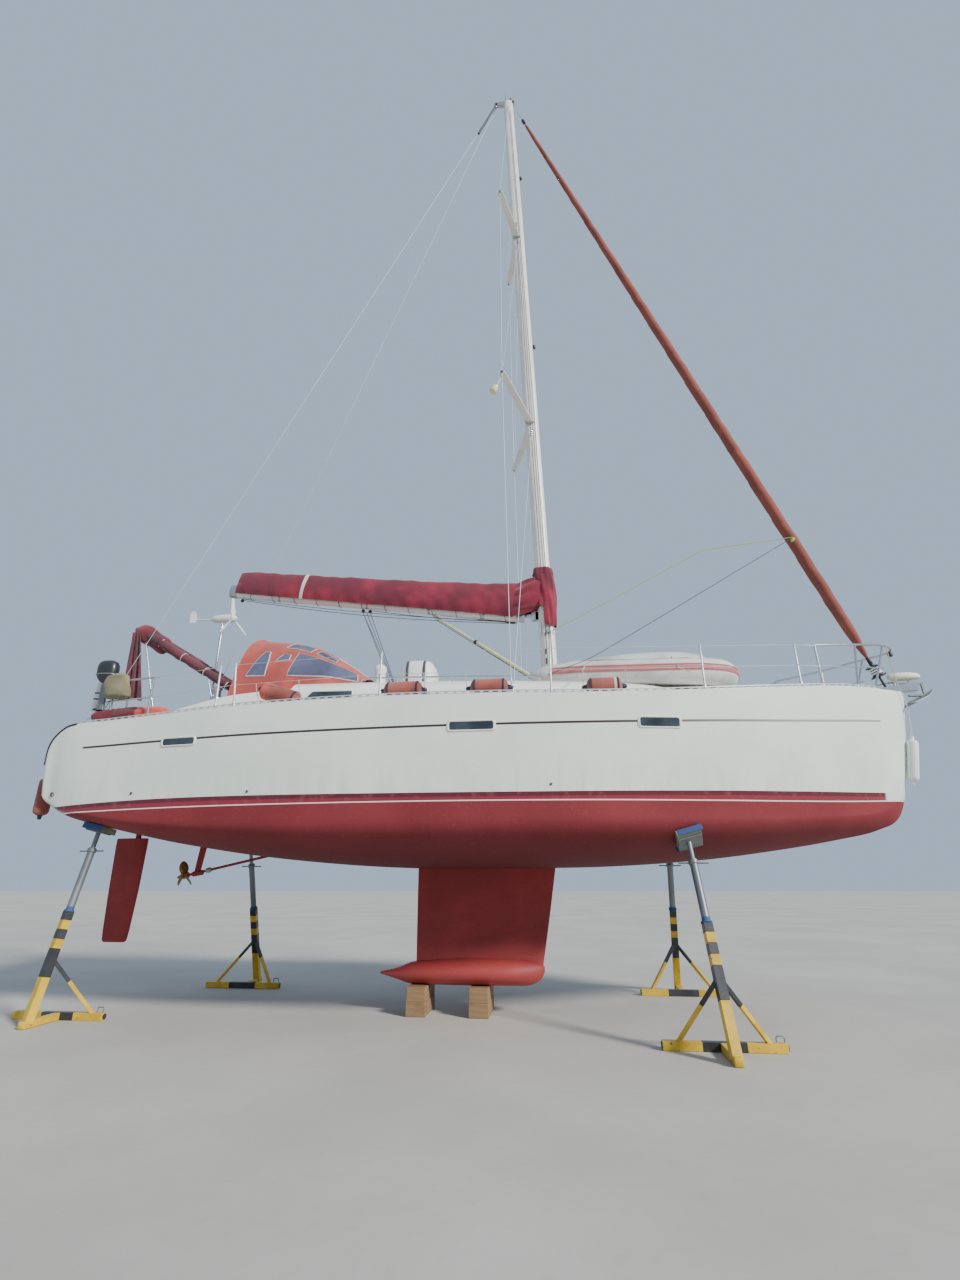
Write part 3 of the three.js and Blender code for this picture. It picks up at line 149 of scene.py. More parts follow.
class Form:
    """The points and faces of one piece. A mark on each face says which finish it takes."""

    def __init__(self):
        self.points, self.faces, self.marks = [], [], []

    def loft(self, rings, mark=0, ends=True, closed=True):
        """A skin over rings of equally many points. A mark may depend on the place in the ring."""
        count, first = len(rings[0]), len(self.points)
        marks = [mark(i) if callable(mark) else mark for i in range(count)]
        self.points += [tuple(p) for ring in rings for p in ring]
        for r in range(len(rings) - 1):
            for i in range(count if closed else count - 1):
                a, b = first + r * count + i, first + r * count + (i + 1) % count
                self.faces.append([a, b, b + count, a + count])
                self.marks.append(marks[i])
        if ends:
            last = len(self.points) - count
            self.faces += [list(range(first, first + count))[::-1], list(range(last, last + count))]
            self.marks += marks[:1] * 2
        return self

    def prism(self, outline, rise, mark=0):
        """An outline of points, carried along by a vector."""
        return self.loft([outline, [Vector(p) + Vector(rise) for p in outline]], mark)

    def tube(self, path, radius, sides=10, mark=0, bend=0., closed=False, flat=1.):
        """A round bar along a path, or a flat one, with its corners bent to a radius."""
        path = eased(path, bend, closed) if bend else [Vector(p) for p in path]
        count, rings, side = len(path), [], None
        radii = radius if isinstance(radius, list) else [radius] * count
        for i, point in enumerate(path):
            before = path[i - 1] if closed or i else point
            after = path[(i + 1) % count] if closed or i + 1 < count else point
            along = ((point - before).normalized() + (after - point).normalized()).normalized()
            start = side or (Vector((1, 0, 0)) if abs(along.z) > .9 else Vector((0, 0, 1)))
            side = (start - along * start.dot(along)).normalized()
            other = along.cross(side)
            rings.append([point + side * radii[i] * cos(a) + other * radii[i] * flat * sin(a)
                for a in turns(sides)])
        if closed:
            return self.loft(rings + rings[:1], mark, ends=False)
        return self.loft(rings, mark)

    def turned(self, start, direction, rows, sides=24, mark=0):
        """A body turned about a line. Each row is a distance along it and a radius."""
        start, along = Vector(start), Vector(direction).normalized()
        side = along.orthogonal().normalized() if abs(along.z) < .9 else Vector((0, 1, 0))
        side = (side - along * side.dot(along)).normalized()
        other = along.cross(side)
        return self.loft([[start + along * d + side * r * cos(a) + other * r * sin(a) for a in turns(sides)]
            for d, r in rows], mark)

    def bar(self, start, end, wide, deep, ease=.003, mark=0, up=(0, 0, 1)):
        """A square bar with eased edges; wide lies level and deep stands along up."""
        start, end = Vector(start), Vector(end)
        along = (end - start).normalized()
        level = along.cross(Vector(up)).normalized()
        top = level.cross(along)
        rings = []
        for place, inset in ((start, ease), (start + along * ease, 0), (end - along * ease, 0), (end, ease)):
            w, d = wide / 2 - inset, deep / 2 - inset
            corners = [(-w, -d + ease), (-w + ease, -d), (w - ease, -d), (w, -d + ease), (w, d - ease),
                (w - ease, d), (-w + ease, d), (-w, d - ease)]
            rings.append([place + level * u + top * v for u, v in corners])
        return self.loft(rings, mark)

    def block(self, corner, opposite, ease=.006, mark=0):
        """A square block between two opposite corners."""
        low, high = (Vector([pick(pair) for pair in zip(corner, opposite)]) for pick in (min, max))
        middle, size = (low + high) / 2, high - low
        return self.bar((low.x, middle.y, middle.z), (high.x, middle.y, middle.z), size.y, size.z, ease, mark)

    def piece(self, name, finishes, slot=None, replaces=None, body="root", crease=38):
        """The object made of the form, on its body; more finishes than one take the marks in turn."""
        mesh = bpy.data.meshes.new(name)
        mesh.from_pydata(self.points, [], self.faces)
        for finish in finishes if isinstance(finishes, (list, tuple)) else [finishes]:
            mesh.materials.append(finish.material)
        mesh.polygons.foreach_set("material_index", self.marks)
        shape = bmesh.new()
        shape.from_mesh(mesh)
        bmesh.ops.recalc_face_normals(shape, faces=shape.faces)
        shape.to_mesh(mesh)
        shape.free()
        smooth(mesh, crease)
        made = bpy.data.objects.new(name, mesh)
        bpy.context.collection.objects.link(made)
        if body:
            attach(made, body)
        if replaces:
            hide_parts(replaces)
        return made


def smooth(mesh, crease):
    mesh.polygons.foreach_set("use_smooth", [True] * len(mesh.polygons))
    mesh.set_sharp_from_angle(angle=radians(crease))


def settle(made, crease=38):
    """Puts a piece's modifiers into its mesh."""
    bpy.context.view_layer.update()
    settled = bpy.data.meshes.new_from_object(made.evaluated_get(bpy.context.evaluated_depsgraph_get()))
    made.modifiers.clear()
    made.data = settled
    smooth(settled, crease)


def carved(made, *cutters):
    """Cuts forms out of a piece; a cut face takes the mark of the cutter's."""
    tools = [cutter.piece(f"cutter_{k}", [], body=None) for k, cutter in enumerate(cutters)]
    for tool in tools:
        cut = made.modifiers.new("cut", "BOOLEAN")
        cut.object, cut.solver = tool, "EXACT"
    settle(made)
    for tool in tools:
        bpy.data.objects.remove(tool)


class Value:
    """A number that varies over a surface. A sum on it adds a Math node to its finish."""

    def __init__(self, finish, socket):
        self.finish, self.socket = finish, socket

    def math(self, operation, *terms):
        return self.finish.node("Math", {"operation": operation}, dict(enumerate(terms)))

    def __add__(self, other):
        return self.math("ADD", self, other)

    def __sub__(self, other):
        return self.math("SUBTRACT", self, other)

    def __rsub__(self, other):
        return self.math("SUBTRACT", other, self)

    def __mul__(self, other):
        return self.math("MULTIPLY", self, other)

    __radd__, __rmul__ = __add__, __mul__

    def wave(self):
        return self.math("SINE", self)

    def step(self, low, high):
        """0 below low, 1 above high, and a soft rise between them."""
        return self.finish.node("MapRange", {"interpolation_type": "SMOOTHSTEP"},
            {"Value": self, "From Min": low, "From Max": high})


def paint(code, light=1.):
    """A colour from its six-figure code, made lighter or darker."""
    parts = (int(code[i:i + 2], 16) / 255 for i in (0, 2, 4))
    linear = (c / 12.92 if c <= .04045 else ((c + .055) / 1.055) ** 2.4 for c in parts)
    return tuple(min(1, c * light) for c in linear) + (1,)


class Finish:
    """One finish: its shader, and the nodes that vary it over the piece."""

    def __init__(self, name, colour, roughness=.5, metallic=0., **fixed):
        self.material = bpy.data.materials.new(name)
        self.material.use_nodes = True
        self.tree = self.material.node_tree
        self.shader = self.tree.nodes["Principled BSDF"]
        self.put("Base Color", paint(colour))
        self.put("Roughness", roughness)
        self.put("Metallic", metallic)
        for socket, value in fixed.items():
            self.put(socket.replace("_", " "), value)
        self.where = self.node("TexCoord", output="Object")
        self.x, self.y, self.z = (self.node("SeparateXYZ", {}, {0: self.where}, axis) for axis in "XYZ")

    def join(self, value, socket):
        if isinstance(value, Value):
            self.tree.links.new(value.socket, socket)
        else:
            socket.default_value = paint(value) if isinstance(value, str) else value

    def put(self, socket, value):
        self.join(value, self.shader.inputs[socket])

    def node(self, kind, settings=None, inputs=None, output=0):
        made = self.tree.nodes.new("ShaderNode" + kind)
        for key, value in (settings or {}).items():
            setattr(made, key, value)
        for key, value in (inputs or {}).items():
            self.join(value, made.inputs[key])
        return Value(self, made.outputs[output])

    def noise(self, scale, detail=3., stretch=(1, 1, 1)):
        spaced = self.node("VectorMath", {"operation": "MULTIPLY"}, {0: self.where, 1: stretch})
        return self.node("TexNoise", {}, {"Vector": spaced, "Scale": scale, "Detail": detail,
            "Roughness": .55}, "Fac")

    def mix(self, share, first, second):
        return self.node("Mix", {"data_type": "RGBA"}, {0: share, 6: first, 7: second}, 2)

    def relief(self, height, depth, strength=.6):
        self.put("Normal", self.node("Bump", {}, {"Height": height, "Distance": depth, "Strength": strength},
            "Normal"))


def worn(name, colour, roughness=.5, metallic=0., patch=.1, grain=60., depth=.0005, **fixed):
    """A finish with broad faded patches, a fine grain and a little relief."""
    finish = Finish(name, colour, roughness, metallic, **fixed)
    broad, fine = finish.noise(1.9, 4), finish.noise(grain, 3)
    tone = finish.mix(broad.step(.35, .65), paint(colour, 1 - patch), paint(colour, 1 + patch))
    finish.put("Base Color", finish.mix(fine.step(.55, .8) * .5, tone, paint(colour, 1 - 2 * patch)))
    finish.put("Roughness", (broad - .5) * .25 + roughness)
    finish.relief(fine, depth)
    return finish


def power_sum(value, *terms):
    """The terms as a sum of powers of a value, the lowest power first."""
    total = 0
    for term in reversed(terms):
        total = total * value + term
    return total


def hull_paint():
    """Gelcoat, stripe, boot stripe and antifouling, told apart by the height over the waterline."""
    finish = Finish("hull_paint", "dfe4da", .24, Coat_Weight=.35, Coat_Roughness=.12)
    x, height = finish.x, finish.z - WATERLINE
    broad, fine = finish.noise(.9, 5), finish.noise(26, 4)
    runs = finish.noise(3.2, 4, (2.6, 2.6, .35))
    gelcoat = finish.mix(broad.step(.3, .7), "e2ebdf", "f1f6ea")
    gelcoat = finish.mix(runs.step(.56, .8) * .13, gelcoat, "c3c9ba")
    low_grime = (1 - (height - .28).step(0, .5)) * runs.step(.4, .75) * .2
    gelcoat = finish.mix(low_grime, gelcoat, "a9b0a2")
    line = height - power_sum(x, *STRIPE_LINE)
    ends = x.step(-5.53, -5.5) * (1 - x.step(5.33, 5.36))
    faded = x.step(1.2, 4.6)
    stripe = (line.step(-.019, -.016) - line.step(.01, .013)) * ends * (1 - faded * .45)
    # Painted highlight: a pale line just under the stripe, where the lip of its groove catches the light.
    painted_groove_highlight = (line.step(-.034, -.03) - line.step(-.022, -.018)) * ends * .55
    gelcoat = finish.mix(painted_groove_highlight, gelcoat, "f6f6f2")
    gelcoat = finish.mix(stripe, gelcoat, "3c2a2e")
    boot = height - power_sum(x, *BOOT_TOP)
    pale = height - power_sum(x, *BOOT_FOOT)
    band = finish.mix((boot + .052).step(-.012, .012), "8e2335", "5c1426")
    band = finish.mix(finish.noise(9, 4).step(.5, .75) * .35, band, "9a5a58")
    band = finish.mix(boot.step(-.002, .001), band, gelcoat)
    band = finish.mix(x.step(5.24, 5.3) * pale.step(0, .01), band, gelcoat)
    below = finish.mix(broad.step(.35, .7), "7c262c", "8a2f35")
    # Painted shade: the antifouling turns darker towards the lowest part of the bottom, deep under the hull.
    below = finish.mix((height + .35).step(-.3, .5), "5f1f24", below)
    below = finish.mix(fine.step(.52, .8) * .22, below, "ab5854")
    below = finish.mix(finish.noise(2.1, 5, (.5, 1, 2.4)).step(.55, .8) * .35, below, "6a252b")
    line_paint = finish.mix(pale.step(-.012, -.009), below, "ece6dc")
    finish.put("Base Color", finish.mix(pale.step(.002, .005), line_paint, band))
    above = pale.step(-.014, -.009)
    finish.put("Roughness", .82 - above * .56 + (fine - .5) * .12)
    finish.put("Coat Weight", above * .35)
    finish.relief(fine * (1.12 - above) + finish.noise(1.4, 2) * above * 1.5, .0016, .35)
    return finish


def deck_moulding():
    """White gelcoat with a pattern of small raised pads against slipping."""
    finish = Finish("deck_moulding", "ecebe4", .5)
    broad = finish.noise(1.3, 5)
    pads = (finish.x * 420).wave() * (finish.y * 420).wave()
    tone = finish.mix(broad.step(.35, .7), "e2e1d8", "f1f0ea")
    finish.put("Base Color", finish.mix(finish.noise(14, 5).step(.55, .85) * .3, tone, "bdbbae"))
    finish.put("Roughness", broad * .3 + .38)
    finish.relief(pads.step(-.2, .6) + finish.noise(90, 2) * .5, .0007, .5)
    return finish


# Fits to the stripes, as sums of powers of x: the stripe's middle, the boot stripe's two edges.
STRIPE_LINE = (1.0646, .00348, .00106, .00079, .000064)
BOOT_TOP = (.2593, -.0038, .00322, .00047, -.000064)
BOOT_FOOT = (.1664, -.00351, .00069, .00046, .000018)
topsides, deck_white = hull_paint(), deck_moulding()
KEEL_STEPS, SIDE_STEPS, DECK_STEPS, STATIONS = 22, 10, 8, 132


def hull_ring(x):
    half = []
    for k in range(KEEL_STEPS + 1):
        turn = pi / 2 * k / KEEL_STEPS
        half.append((turn_y(x) * sin(turn) ** fullness(x), turn_h(x) - (turn_h(x) - keel_h(x))
            * cos(turn) ** fullness(x)))
    for k in range(1, SIDE_STEPS + 1):
        t = k / SIDE_STEPS
        half.append((turn_y(x) + (deck_y(x) - turn_y(x)) * (1 - (1 - t) ** 1.5),
            turn_h(x) + (deck_h(x) - turn_h(x)) * t))
    for k in range(1, DECK_STEPS + 1):
        y = deck_y(x) * (1 - k / DECK_STEPS)
        half.append((y, deck_top(x, y)))
    return [at(x, y, h) for y, h in half] + [at(x, -y, h) for y, h in half[-2:0:-1]]


stern, stem = HULL_ROWS[0][0], HULL_ROWS[-1][0]
stations = [stern + (stem - stern) * (1 - cos(pi * k / STATIONS)) / 2 for k in range(STATIONS + 1)]
rim = KEEL_STEPS + SIDE_STEPS
hull_skin = Form().loft([hull_ring(x) for x in stations], lambda i: 1 if rim <= i < rim + 2 * DECK_STEPS
    else 0)
hull = hull_skin.piece("hull_moulding", [topsides, deck_white], "hull_gelcoat", "hull")


OPEN_ABOVE = 2.6  # taller than any deck over the floor of a well


def well(x0, x1, half, low, corner=.07, mark=1):
    """A sunk space with rounded corners, open above."""
    outline = eased([at(x0, -half, low), at(x1, -half, low), at(x1, half, low), at(x0, half, low)], corner,
        closed=True)
    return Form().prism(outline, (0, 0, OPEN_ABOVE), mark)


carved(hull, well(-5.05, -2.74, .74, 1.13), well(-4.75, -2.74, .37, .74), well(-2.66, -2, .33, .7, .02),
    well(-6.5, -5.64, .64, .44))
steel = worn("stainless", "c3c7ca", .22, .92, patch=.05, grain=120)
lugs = Form()
for side in (-1, 1):
    corners = ((-6.2, .427), (-6.1, .427), (-6.1, .47), (-6.2, .47))
    lugs.prism(eased([at(x, side * .17, h) for x, h in corners], .012, True), (0, side * .008, 0))
lugs.piece("ladder_lugs", steel, "stainless")
black = worn("black_plastic", "26282b", .5, patch=.2)
trim = Form()
for side in (-1, 1):
    edge_xs = [-6.155 + .47 * (k / 18) ** 1.6 for k in range(19)]
    trim.tube([at(x, side * (deck_y(x) + .002), deck_h(x) + .002) for x in edge_xs], .013, 8)
trim.piece("quarter_trim", black, "black_plastic")
outlets = Form()
for x, h, size in ((-5.93, .395, .03), (-4.6, .36, .018), (-2.9, .33, .016), (.9, .34, .016)):
    for side in (-1, 1):
        y = hull_half(x, h)
        outlets.turned(at(x, side * (y - .01), h), (0, side, -.1), [(0, size), (.018, size),
            (.022, size * .8), (.012, size * .6), (.004, size * .5)], 16)
outlets.piece("skin_fittings", black, "black_plastic")


# Ports in the topsides: a smoked acrylic light with rounded ends, in a pale frame that stands a
# few millimetres proud of the hull. Three on each side.
smoked = Finish("smoked_acrylic", "20262b", .08, Coat_Weight=.6, Specular_IOR_Level=.6)
smoked.put("Base Color", smoked.mix(smoked.noise(3, 3).step(.3, .7), "1b2228", "39434a"))
smoked.put("Roughness", smoked.noise(40, 2) * .08 + .05)
plastic = worn("white_plastic", "e7e8e4", .42, patch=.05, grain=90)
PORTS = [(-4.22, -3.745, .955, 1.055), (-.313, .229, .99, 1.105), (2., 2.475, 1.01, 1.13)]
lights, frames = Form(), Form()
for side in (-1, 1):
    for x0, x1, low, high in PORTS:
        corners = [Vector(p) for p in ((x0, 0, low), (x1, 0, low), (x1, 0, high), (x0, 0, high))]
        outline = eased(corners, .035, closed=True)
        lights.loft([[on_side(p.x, p.z, out, side) for p in outline] for out in (-.012, .004)])
        for grow, out, size in ((.01, .003, .011), (.024, .001, .009)):
            middle = sum(outline, Vector()) / len(outline)
            ring = [p + (p - middle).normalized() * grow for p in outline]
            frames.tube([on_side(p.x, p.z, out, side) for p in ring], size, 8, closed=True)
lights.piece("hull_port_lights", smoked, "smoked_acrylic")
frames.piece("hull_port_frames", plastic, "white_plastic")


# Keel: a cast iron fin of foil section on a bulb that draws out aft into a flat tail, faired,
# bolted up under the hull and painted with the same antifouling.
def antifouling(name, colour, bright):
    finish = Finish(name, colour, .8)
    broad, brushed = finish.noise(1.6, 5), finish.noise(8, 5, (.35, 1, 2.2))
    tone = finish.mix(broad.step(.35, .7), paint(colour, .86), paint(colour, 1.12))
    # Painted light: below about 0.9 m over the floor the paint turns to the lighter colour given as bright,
    # fully below 0.55 m, as if sunlit under the hull's shadow.
    low = 1 - (finish.z - .55).step(0, .35)
    tone = finish.mix(low * .75, tone, bright)
    tone = finish.mix(brushed.step(.5, .8) * .4, tone, paint(colour, .66))
    scuffs = finish.noise(24, 5, (1, 1, 3)).step(.62, .8)
    finish.put("Base Color", finish.mix(scuffs * .45, tone, "c4837a"))
    finish.put("Roughness", .86 - low * .3 - scuffs * .1)
    finish.relief(brushed + finish.noise(60, 3) * .6, .0016, .5)
    return finish


bottom_red = antifouling("antifouling", "8e3434", "ad4240")
# height, leading edge, trailing edge, half thickness
FIN_ROWS = [(-1.95, .64, -1.05, .075), (-1.25, .77, -1.058, .08), (-.4, .912, -1.063, .092)]
# x, middle height, half width, half height
BULB_ROWS = [(-1.545, -1.895, .03, .014), (-1.3, -1.9, .11, .072), (-1.115, -1.89, .17, .132),
    (-.85, -1.88, .225, .15), (-.3, -1.865, .275, .17), (.2, -1.865, .26, .17), (.48, -1.865, .185, .16),
    (.64, -1.85, .09, .1), (.69, -1.83, .025, .03)]
KEEL_FOOT = -2.02


def foil(h, lead, trail, half, steps=18):
    """A foil section: blunt in front, thickest at a third, fine behind."""
    outline = []
    for k in range(steps + 1):
        t = (1 - cos(pi * k / steps)) / 2
        wide = 9.9 * (.2969 * t**.5 - .126 * t - .3516 * t**2 + .2843 * t**3 - .1015 * t**4)
        outline.append((lead - t * (lead - trail), max(.03, wide) * half if k else 0))
    return [at(x, y, h) for x, y in outline] + [at(x, -y, h) for x, y in outline[:0:-1]]


keel = Form()
fin_curves = [curve_through(FIN_ROWS, k) for k in (1, 2, 3)]
keel.loft([foil(h, *(curve(h) for curve in fin_curves)) for h in spread(-.4, -1.95, 10)])
bulb_curves = [curve_through(BULB_ROWS, k) for k in (1, 2, 3)]
bulb_tail, bulb_nose = BULB_ROWS[0][0], BULB_ROWS[-1][0]
bulb_rings = []
for k in range(49):
    x = bulb_tail + (bulb_nose - bulb_tail) * (1 - cos(pi * k / 48)) / 2
    middle, wide, high = (curve(x) for curve in bulb_curves)
    bulb_rings.append([at(x, wide * cos(a), max(KEEL_FOOT, middle + high * sin(a))) for a in turns(32)])
keel.loft(bulb_rings)
# The fairing strip where the fin meets the hull: x, distance from the middle.
SEAM = [(.9, 0.), (.7, .07), (.3, .096), (-.2, .088), (-.7, .046), (-1.06, .008)]
for side in (-1, 1):
    keel.tube([at(x, side * (y + .004), -.5 - .045 * (1 - abs(x - .1) / 1.2)) for x, y in SEAM], .016, 8)
keel.piece("keel_and_bulb", bottom_red, "antifouling", "keel", crease=50)


# Rudder: a spade blade of foil section moulded round a stainless stock, which turns in two
# bearings in the hull. It is painted as the bottom is.
UP = (0, 0, 1)
# height, leading edge, trailing edge, half thickness
RUDDER_ROWS = [(-.11, -5.305, -5.815, .06), (-.2, -5.303, -5.818, .06), (-.85, -5.32, -5.8, .05),
    (-1.4, -5.355, -5.775, .037), (-1.53, -5.372, -5.762, .033), (-1.555, -5.405, -5.735, .024)]
rudder = Form().loft([foil(*row, steps=14) for row in RUDDER_ROWS])
rudder.turned(at(-5.47, 0, -.16), UP, [(0, .039), (.16, .039)], 24)
rudder.piece("rudder_blade", bottom_red, "antifouling", "rudder", "rudder", 50)


# Propeller shaft: a stainless bar out of a stern gland, carried by a cast strut, with a zinc
# anode clamped on it.
shaft_fore, shaft_aft = at(-3.3, 0, -.37), at(-4.56, 0, -.64)
shaft_way = (shaft_aft - shaft_fore).normalized()
shaft = Form().turned(shaft_fore, shaft_way, [(0, .019), ((shaft_aft - shaft_fore).length, .019)], 16)
barrel = at(-4.33, 0, -.602)
shaft.turned(barrel, at(-4.5, 0, -.63) - barrel, [(0, .026), (.01, .037), (.15, .038), (.172, .028)], 24)
strut_rings, w = [], .013
for h, lead, trail in ((-.6, -4.375, -4.475), (-.15, -4.31, -4.425)):
    outline = ((lead, 0), (lead - .035, w), (trail + .03, w * .8), (trail, 0), (trail + .03, -w * .8),
        (lead - .035, -w))
    strut_rings.append([at(x, y, h) for x, y in outline])
shaft.loft(strut_rings)
shaft.piece("shaft_and_strut_cast", bottom_red, "antifouling", "shaft_and_strut")
zinc = worn("zinc_anode", "9aa0a2", .7, .6, patch=.25, grain=40, depth=.002)
Form().turned(shaft_fore + shaft_way * .93, shaft_way, [(0, .022), (.012, .036), (.04, .04), (.07, .036),
    (.08, .022)], 20).piece("shaft_anode", zinc, "galvanised")


# Propeller: three blades cast in one with their hub, in bronze gone dull, with a fairing nut.
bronze = worn("bronze", "8f7444", .42, .75, patch=.25, grain=30, depth=.001)
propeller = Form()
hub = shaft_aft + shaft_way * .0003
propeller.turned(hub, shaft_way, [(0, .044), (.02, .046), (.09, .04), (.128, .03)], 24)
propeller.turned(hub + shaft_way * .128, shaft_way, [(0, .024), (.02, .022), (.045, .01), (.05, .003)], 16)
hub_middle = hub + shaft_way * .065
# radius, half chord, half thickness, pitch
BLADE_ROWS = ((.015, .034, .009, .9), (.05, .052, .008, .75), (.09, .072, .007, .6), (.13, .076, .006, .5),
    (.165, .066, .005, .43), (.195, .045, .004, .38), (.213, .018, .003, .35))
for turn in turns(3):
    outward = Vector((0, sin(turn), cos(turn)))
    outward = (outward - shaft_way * outward.dot(shaft_way)).normalized()
    rings = []
    for radius, half, thick, pitch in BLADE_ROWS:
        chord = outward.cross(shaft_way) * cos(pitch) + shaft_way * sin(pitch)
        flat = chord.cross(outward)
        rings.append([hub_middle + outward * radius + chord * half * cos(a) + flat * thick * sin(a)
            for a in turns(14)])
    propeller.loft(rings)
propeller.piece("propeller_cast", bronze, "bronze", "propeller", "propeller")


# Coachroof and coamings: one moulding in glass and polyester, bonded down on the deck. Its sides
# are glossy and its top has the deck's pattern; round pads carry the winches.
house_gloss = worn("house_gelcoat", "eeeee8", .22, patch=.04, grain=35, depth=.0004, Coat_Weight=.4)
# x, half width at the foot and at the top, height of the top's edge
ROOF_ROWS = [(-2.7, 1.28, 1.1, 1.93), (-1.2, 1.26, 1.08, 1.915), (.3, 1.18, 1.01, 1.89),
    (1.4, 1.06, .88, 1.87), (2.3, .88, .7, 1.84), (2.9, .7, .54, 1.74), (3.35, .48, .38, 1.6)]
# x, inner and outer face at the foot, inner and outer face at the top, height
COAMING_ROWS = [(-4.98, .77, 1.12, .79, 1.06, 1.5), (-4.5, .77, 1.2, .79, 1.14, 1.6),
    (-3.7, .77, 1.27, .79, 1.21, 1.76), (-2.69, .77, 1.29, .79, 1.23, 1.83)]
WINCH_X, WINCH_Y, WINCH_SEAT = -3.95, 1., 1.735
BIMINI_PIVOT, BIMINI_HALF = (-3.62, 1.86), .93
roof_foot, roof_top, roof_h = (curve_through(ROOF_ROWS, k) for k in (1, 2, 3))


def upward(z):
    return Vector((0, 0, z))


def roof_ring(x):
    foot, top, h = roof_foot(x), roof_top(x), roof_h(x)
    half = [(foot, 1.2), (foot - .02, h - .13), (top + .03, h - .025), (top - .06, h + .012),
        (top * .55, h + .042)]
    ring = [at(x, y, g) for y, g in half] + [at(x, 0, h + .06)] + [at(x, -y, g) for y, g in half[::-1]]
    return eased(ring, .07, closed=True, steps=3)


def roof_side(x, h, out, side):
    return at(x, side * (roof_foot(x) - .02 * (h - 1.2) / (roof_h(x) - 1.33) + out), h)


def roof_height(x, y=0.):
    return roof_h(x) + .06 - .048 * min(1, abs(y) / roof_top(x)) ** 1.6


TOP_FACES = range(15, 28)  # the faces of a ring that make the roof's top
roof = Form().loft([roof_ring(x) for x in spread(ROOF_ROWS[0][0], ROOF_ROWS[-1][0], 48)],
    lambda i: 1 if i in TOP_FACES else 0)
roof_piece = roof.piece("coachroof", [house_gloss, deck_white], "deck_gelcoat", "deckhouse")
carved(roof_piece, well(-2.9, -2., .33, 1.3, .02, 0))
coamings = Form()
coaming_curves = [curve_through(COAMING_ROWS, k) for k in range(1, 6)]
for side in (-1, 1):
    rings = []
    for x in spread(COAMING_ROWS[0][0], COAMING_ROWS[-1][0], 24):
        foot_in, foot_out, top_in, top_out, h = (curve(x) for curve in coaming_curves)
        corners = ((foot_in, 1.1), (top_in, h), (top_out, h), (foot_out, 1.1))
        rings.append(eased([at(x, side * y, z) for y, z in corners], .05, True))
    coamings.loft(rings)
    coamings.turned(at(WINCH_X, side * WINCH_Y, 1.5), UP, [(0, .105), (.2, .098), (.228, .092), (.235, .084)],
        28)
    lug_x, lug_h = BIMINI_PIVOT
    corners = ((lug_x - .03, 1.6), (lug_x + .03, 1.6), (lug_x + .03, lug_h + .03), (lug_x - .03, lug_h + .03))
    lug = [at(x, side * (BIMINI_HALF - .016), h) for x, h in corners]
    coamings.prism(eased(lug, .025, True), (0, -side * .012, 0), 1)
for side in (-1, 1):
    coamings.block(at(-2.72, side * .36 - .018, 1.9), at(-1.64, side * .36 + .018, 2.0095), .004)
coamings.block(at(-.58, -.29, 1.85), at(-.02, .29, 1.9845), .012)
coamings.piece("coamings", [house_gloss, steel], "deck_gelcoat")
windows, window_rims = Form(), Form()
for side in (-1, 1):
    for corners in ([(-2.5, 1.635), (-1.8, 1.635), (-1.8, 1.75), (-2.38, 1.757)],
            [(-1.27, 1.635), (-.585, 1.628), (-.86, 1.725), (-1.27, 1.745)]):
        outline = eased([(x, 0, h) for x, h in corners], .02, closed=True)
        windows.loft([[roof_side(p.x, p.z, out, side) for p in outline] for out in (-.01, .003)])
        window_rims.tube([roof_side(p.x, p.z, .002, side) for p in outline], .0075, 8, closed=True)
windows.piece("coachroof_windows", smoked, "smoked_acrylic")
window_rims.piece("coachroof_window_rims", plastic, "white_plastic")
handrails = Form()
for side in (-1, 1):
    line = [at(x, side * (roof_top(x) - .1), roof_height(x, roof_top(x) - .1) + .065)
        for x in spread(-1.75, .75, 10)]
    ends = [at(x + dx, side * (roof_top(x) - .1), roof_height(x, roof_top(x)) - .02)
        for x, dx in ((-1.75, -.05), (.75, .05))]
    handrails.tube([ends[0], *line, ends[1]], .0125, 12, bend=.05)
    for p in line[2:-1:3]:
        handrails.turned(p - upward(.085), UP, [(0, .028), (.02, .024), (.03, .011), (.085, .011)], 14)
handrails.piece("coachroof_handrails", steel, "stainless")


# Companionway: a board of smoked acrylic dropped in grooves, and above it a sliding hatch of the
# same, in an alloy frame that runs on two rails of the coachroof.
alloy = worn("anodised_alloy", "b4b8ba", .38, .85, patch=.06, grain=150)
board = Form()
board.bar(at(-2.68, 0, 1.25), at(-2.68, 0, 2.), .654, .026, .006, up=(1, 0, 0))
for h in (1.42, 1.5, 1.58):
    board.bar(at(-2.698, -.16, h), at(-2.698, .16, h), .012, .018, .004, 1)
board.turned(at(-2.694, .22, 1.72), (-1, 0, 0), [(0, .03), (.006, .03), (.012, .02), (.02, .012)], 20, 2)
board.piece("companionway_board", [smoked, black, steel], "smoked_acrylic", "washboard")
sliding = Form().block(at(-2.7, -.37, 2.016), at(-2.08, .37, 2.048), .01)
for start, end in (((-2.71, -.378), (-2.71, .378)), ((-2.07, -.378), (-2.07, .378)),
        ((-2.71, -.378), (-2.07, -.378)), ((-2.71, .378), (-2.07, .378))):
    sliding.bar(at(*start, 2.031), at(*end, 2.031), .022, .042, .005, 1)
sliding.tube([at(-2.64, -.12, 2.046), at(-2.64, -.12, 2.072), at(-2.64, .12, 2.072), at(-2.64, .12, 2.046)],
    .008, 10, 1, .02)
sliding.piece("sliding_hatch", [smoked, alloy], "smoked_acrylic", "companion_hatch", "companion_hatch")


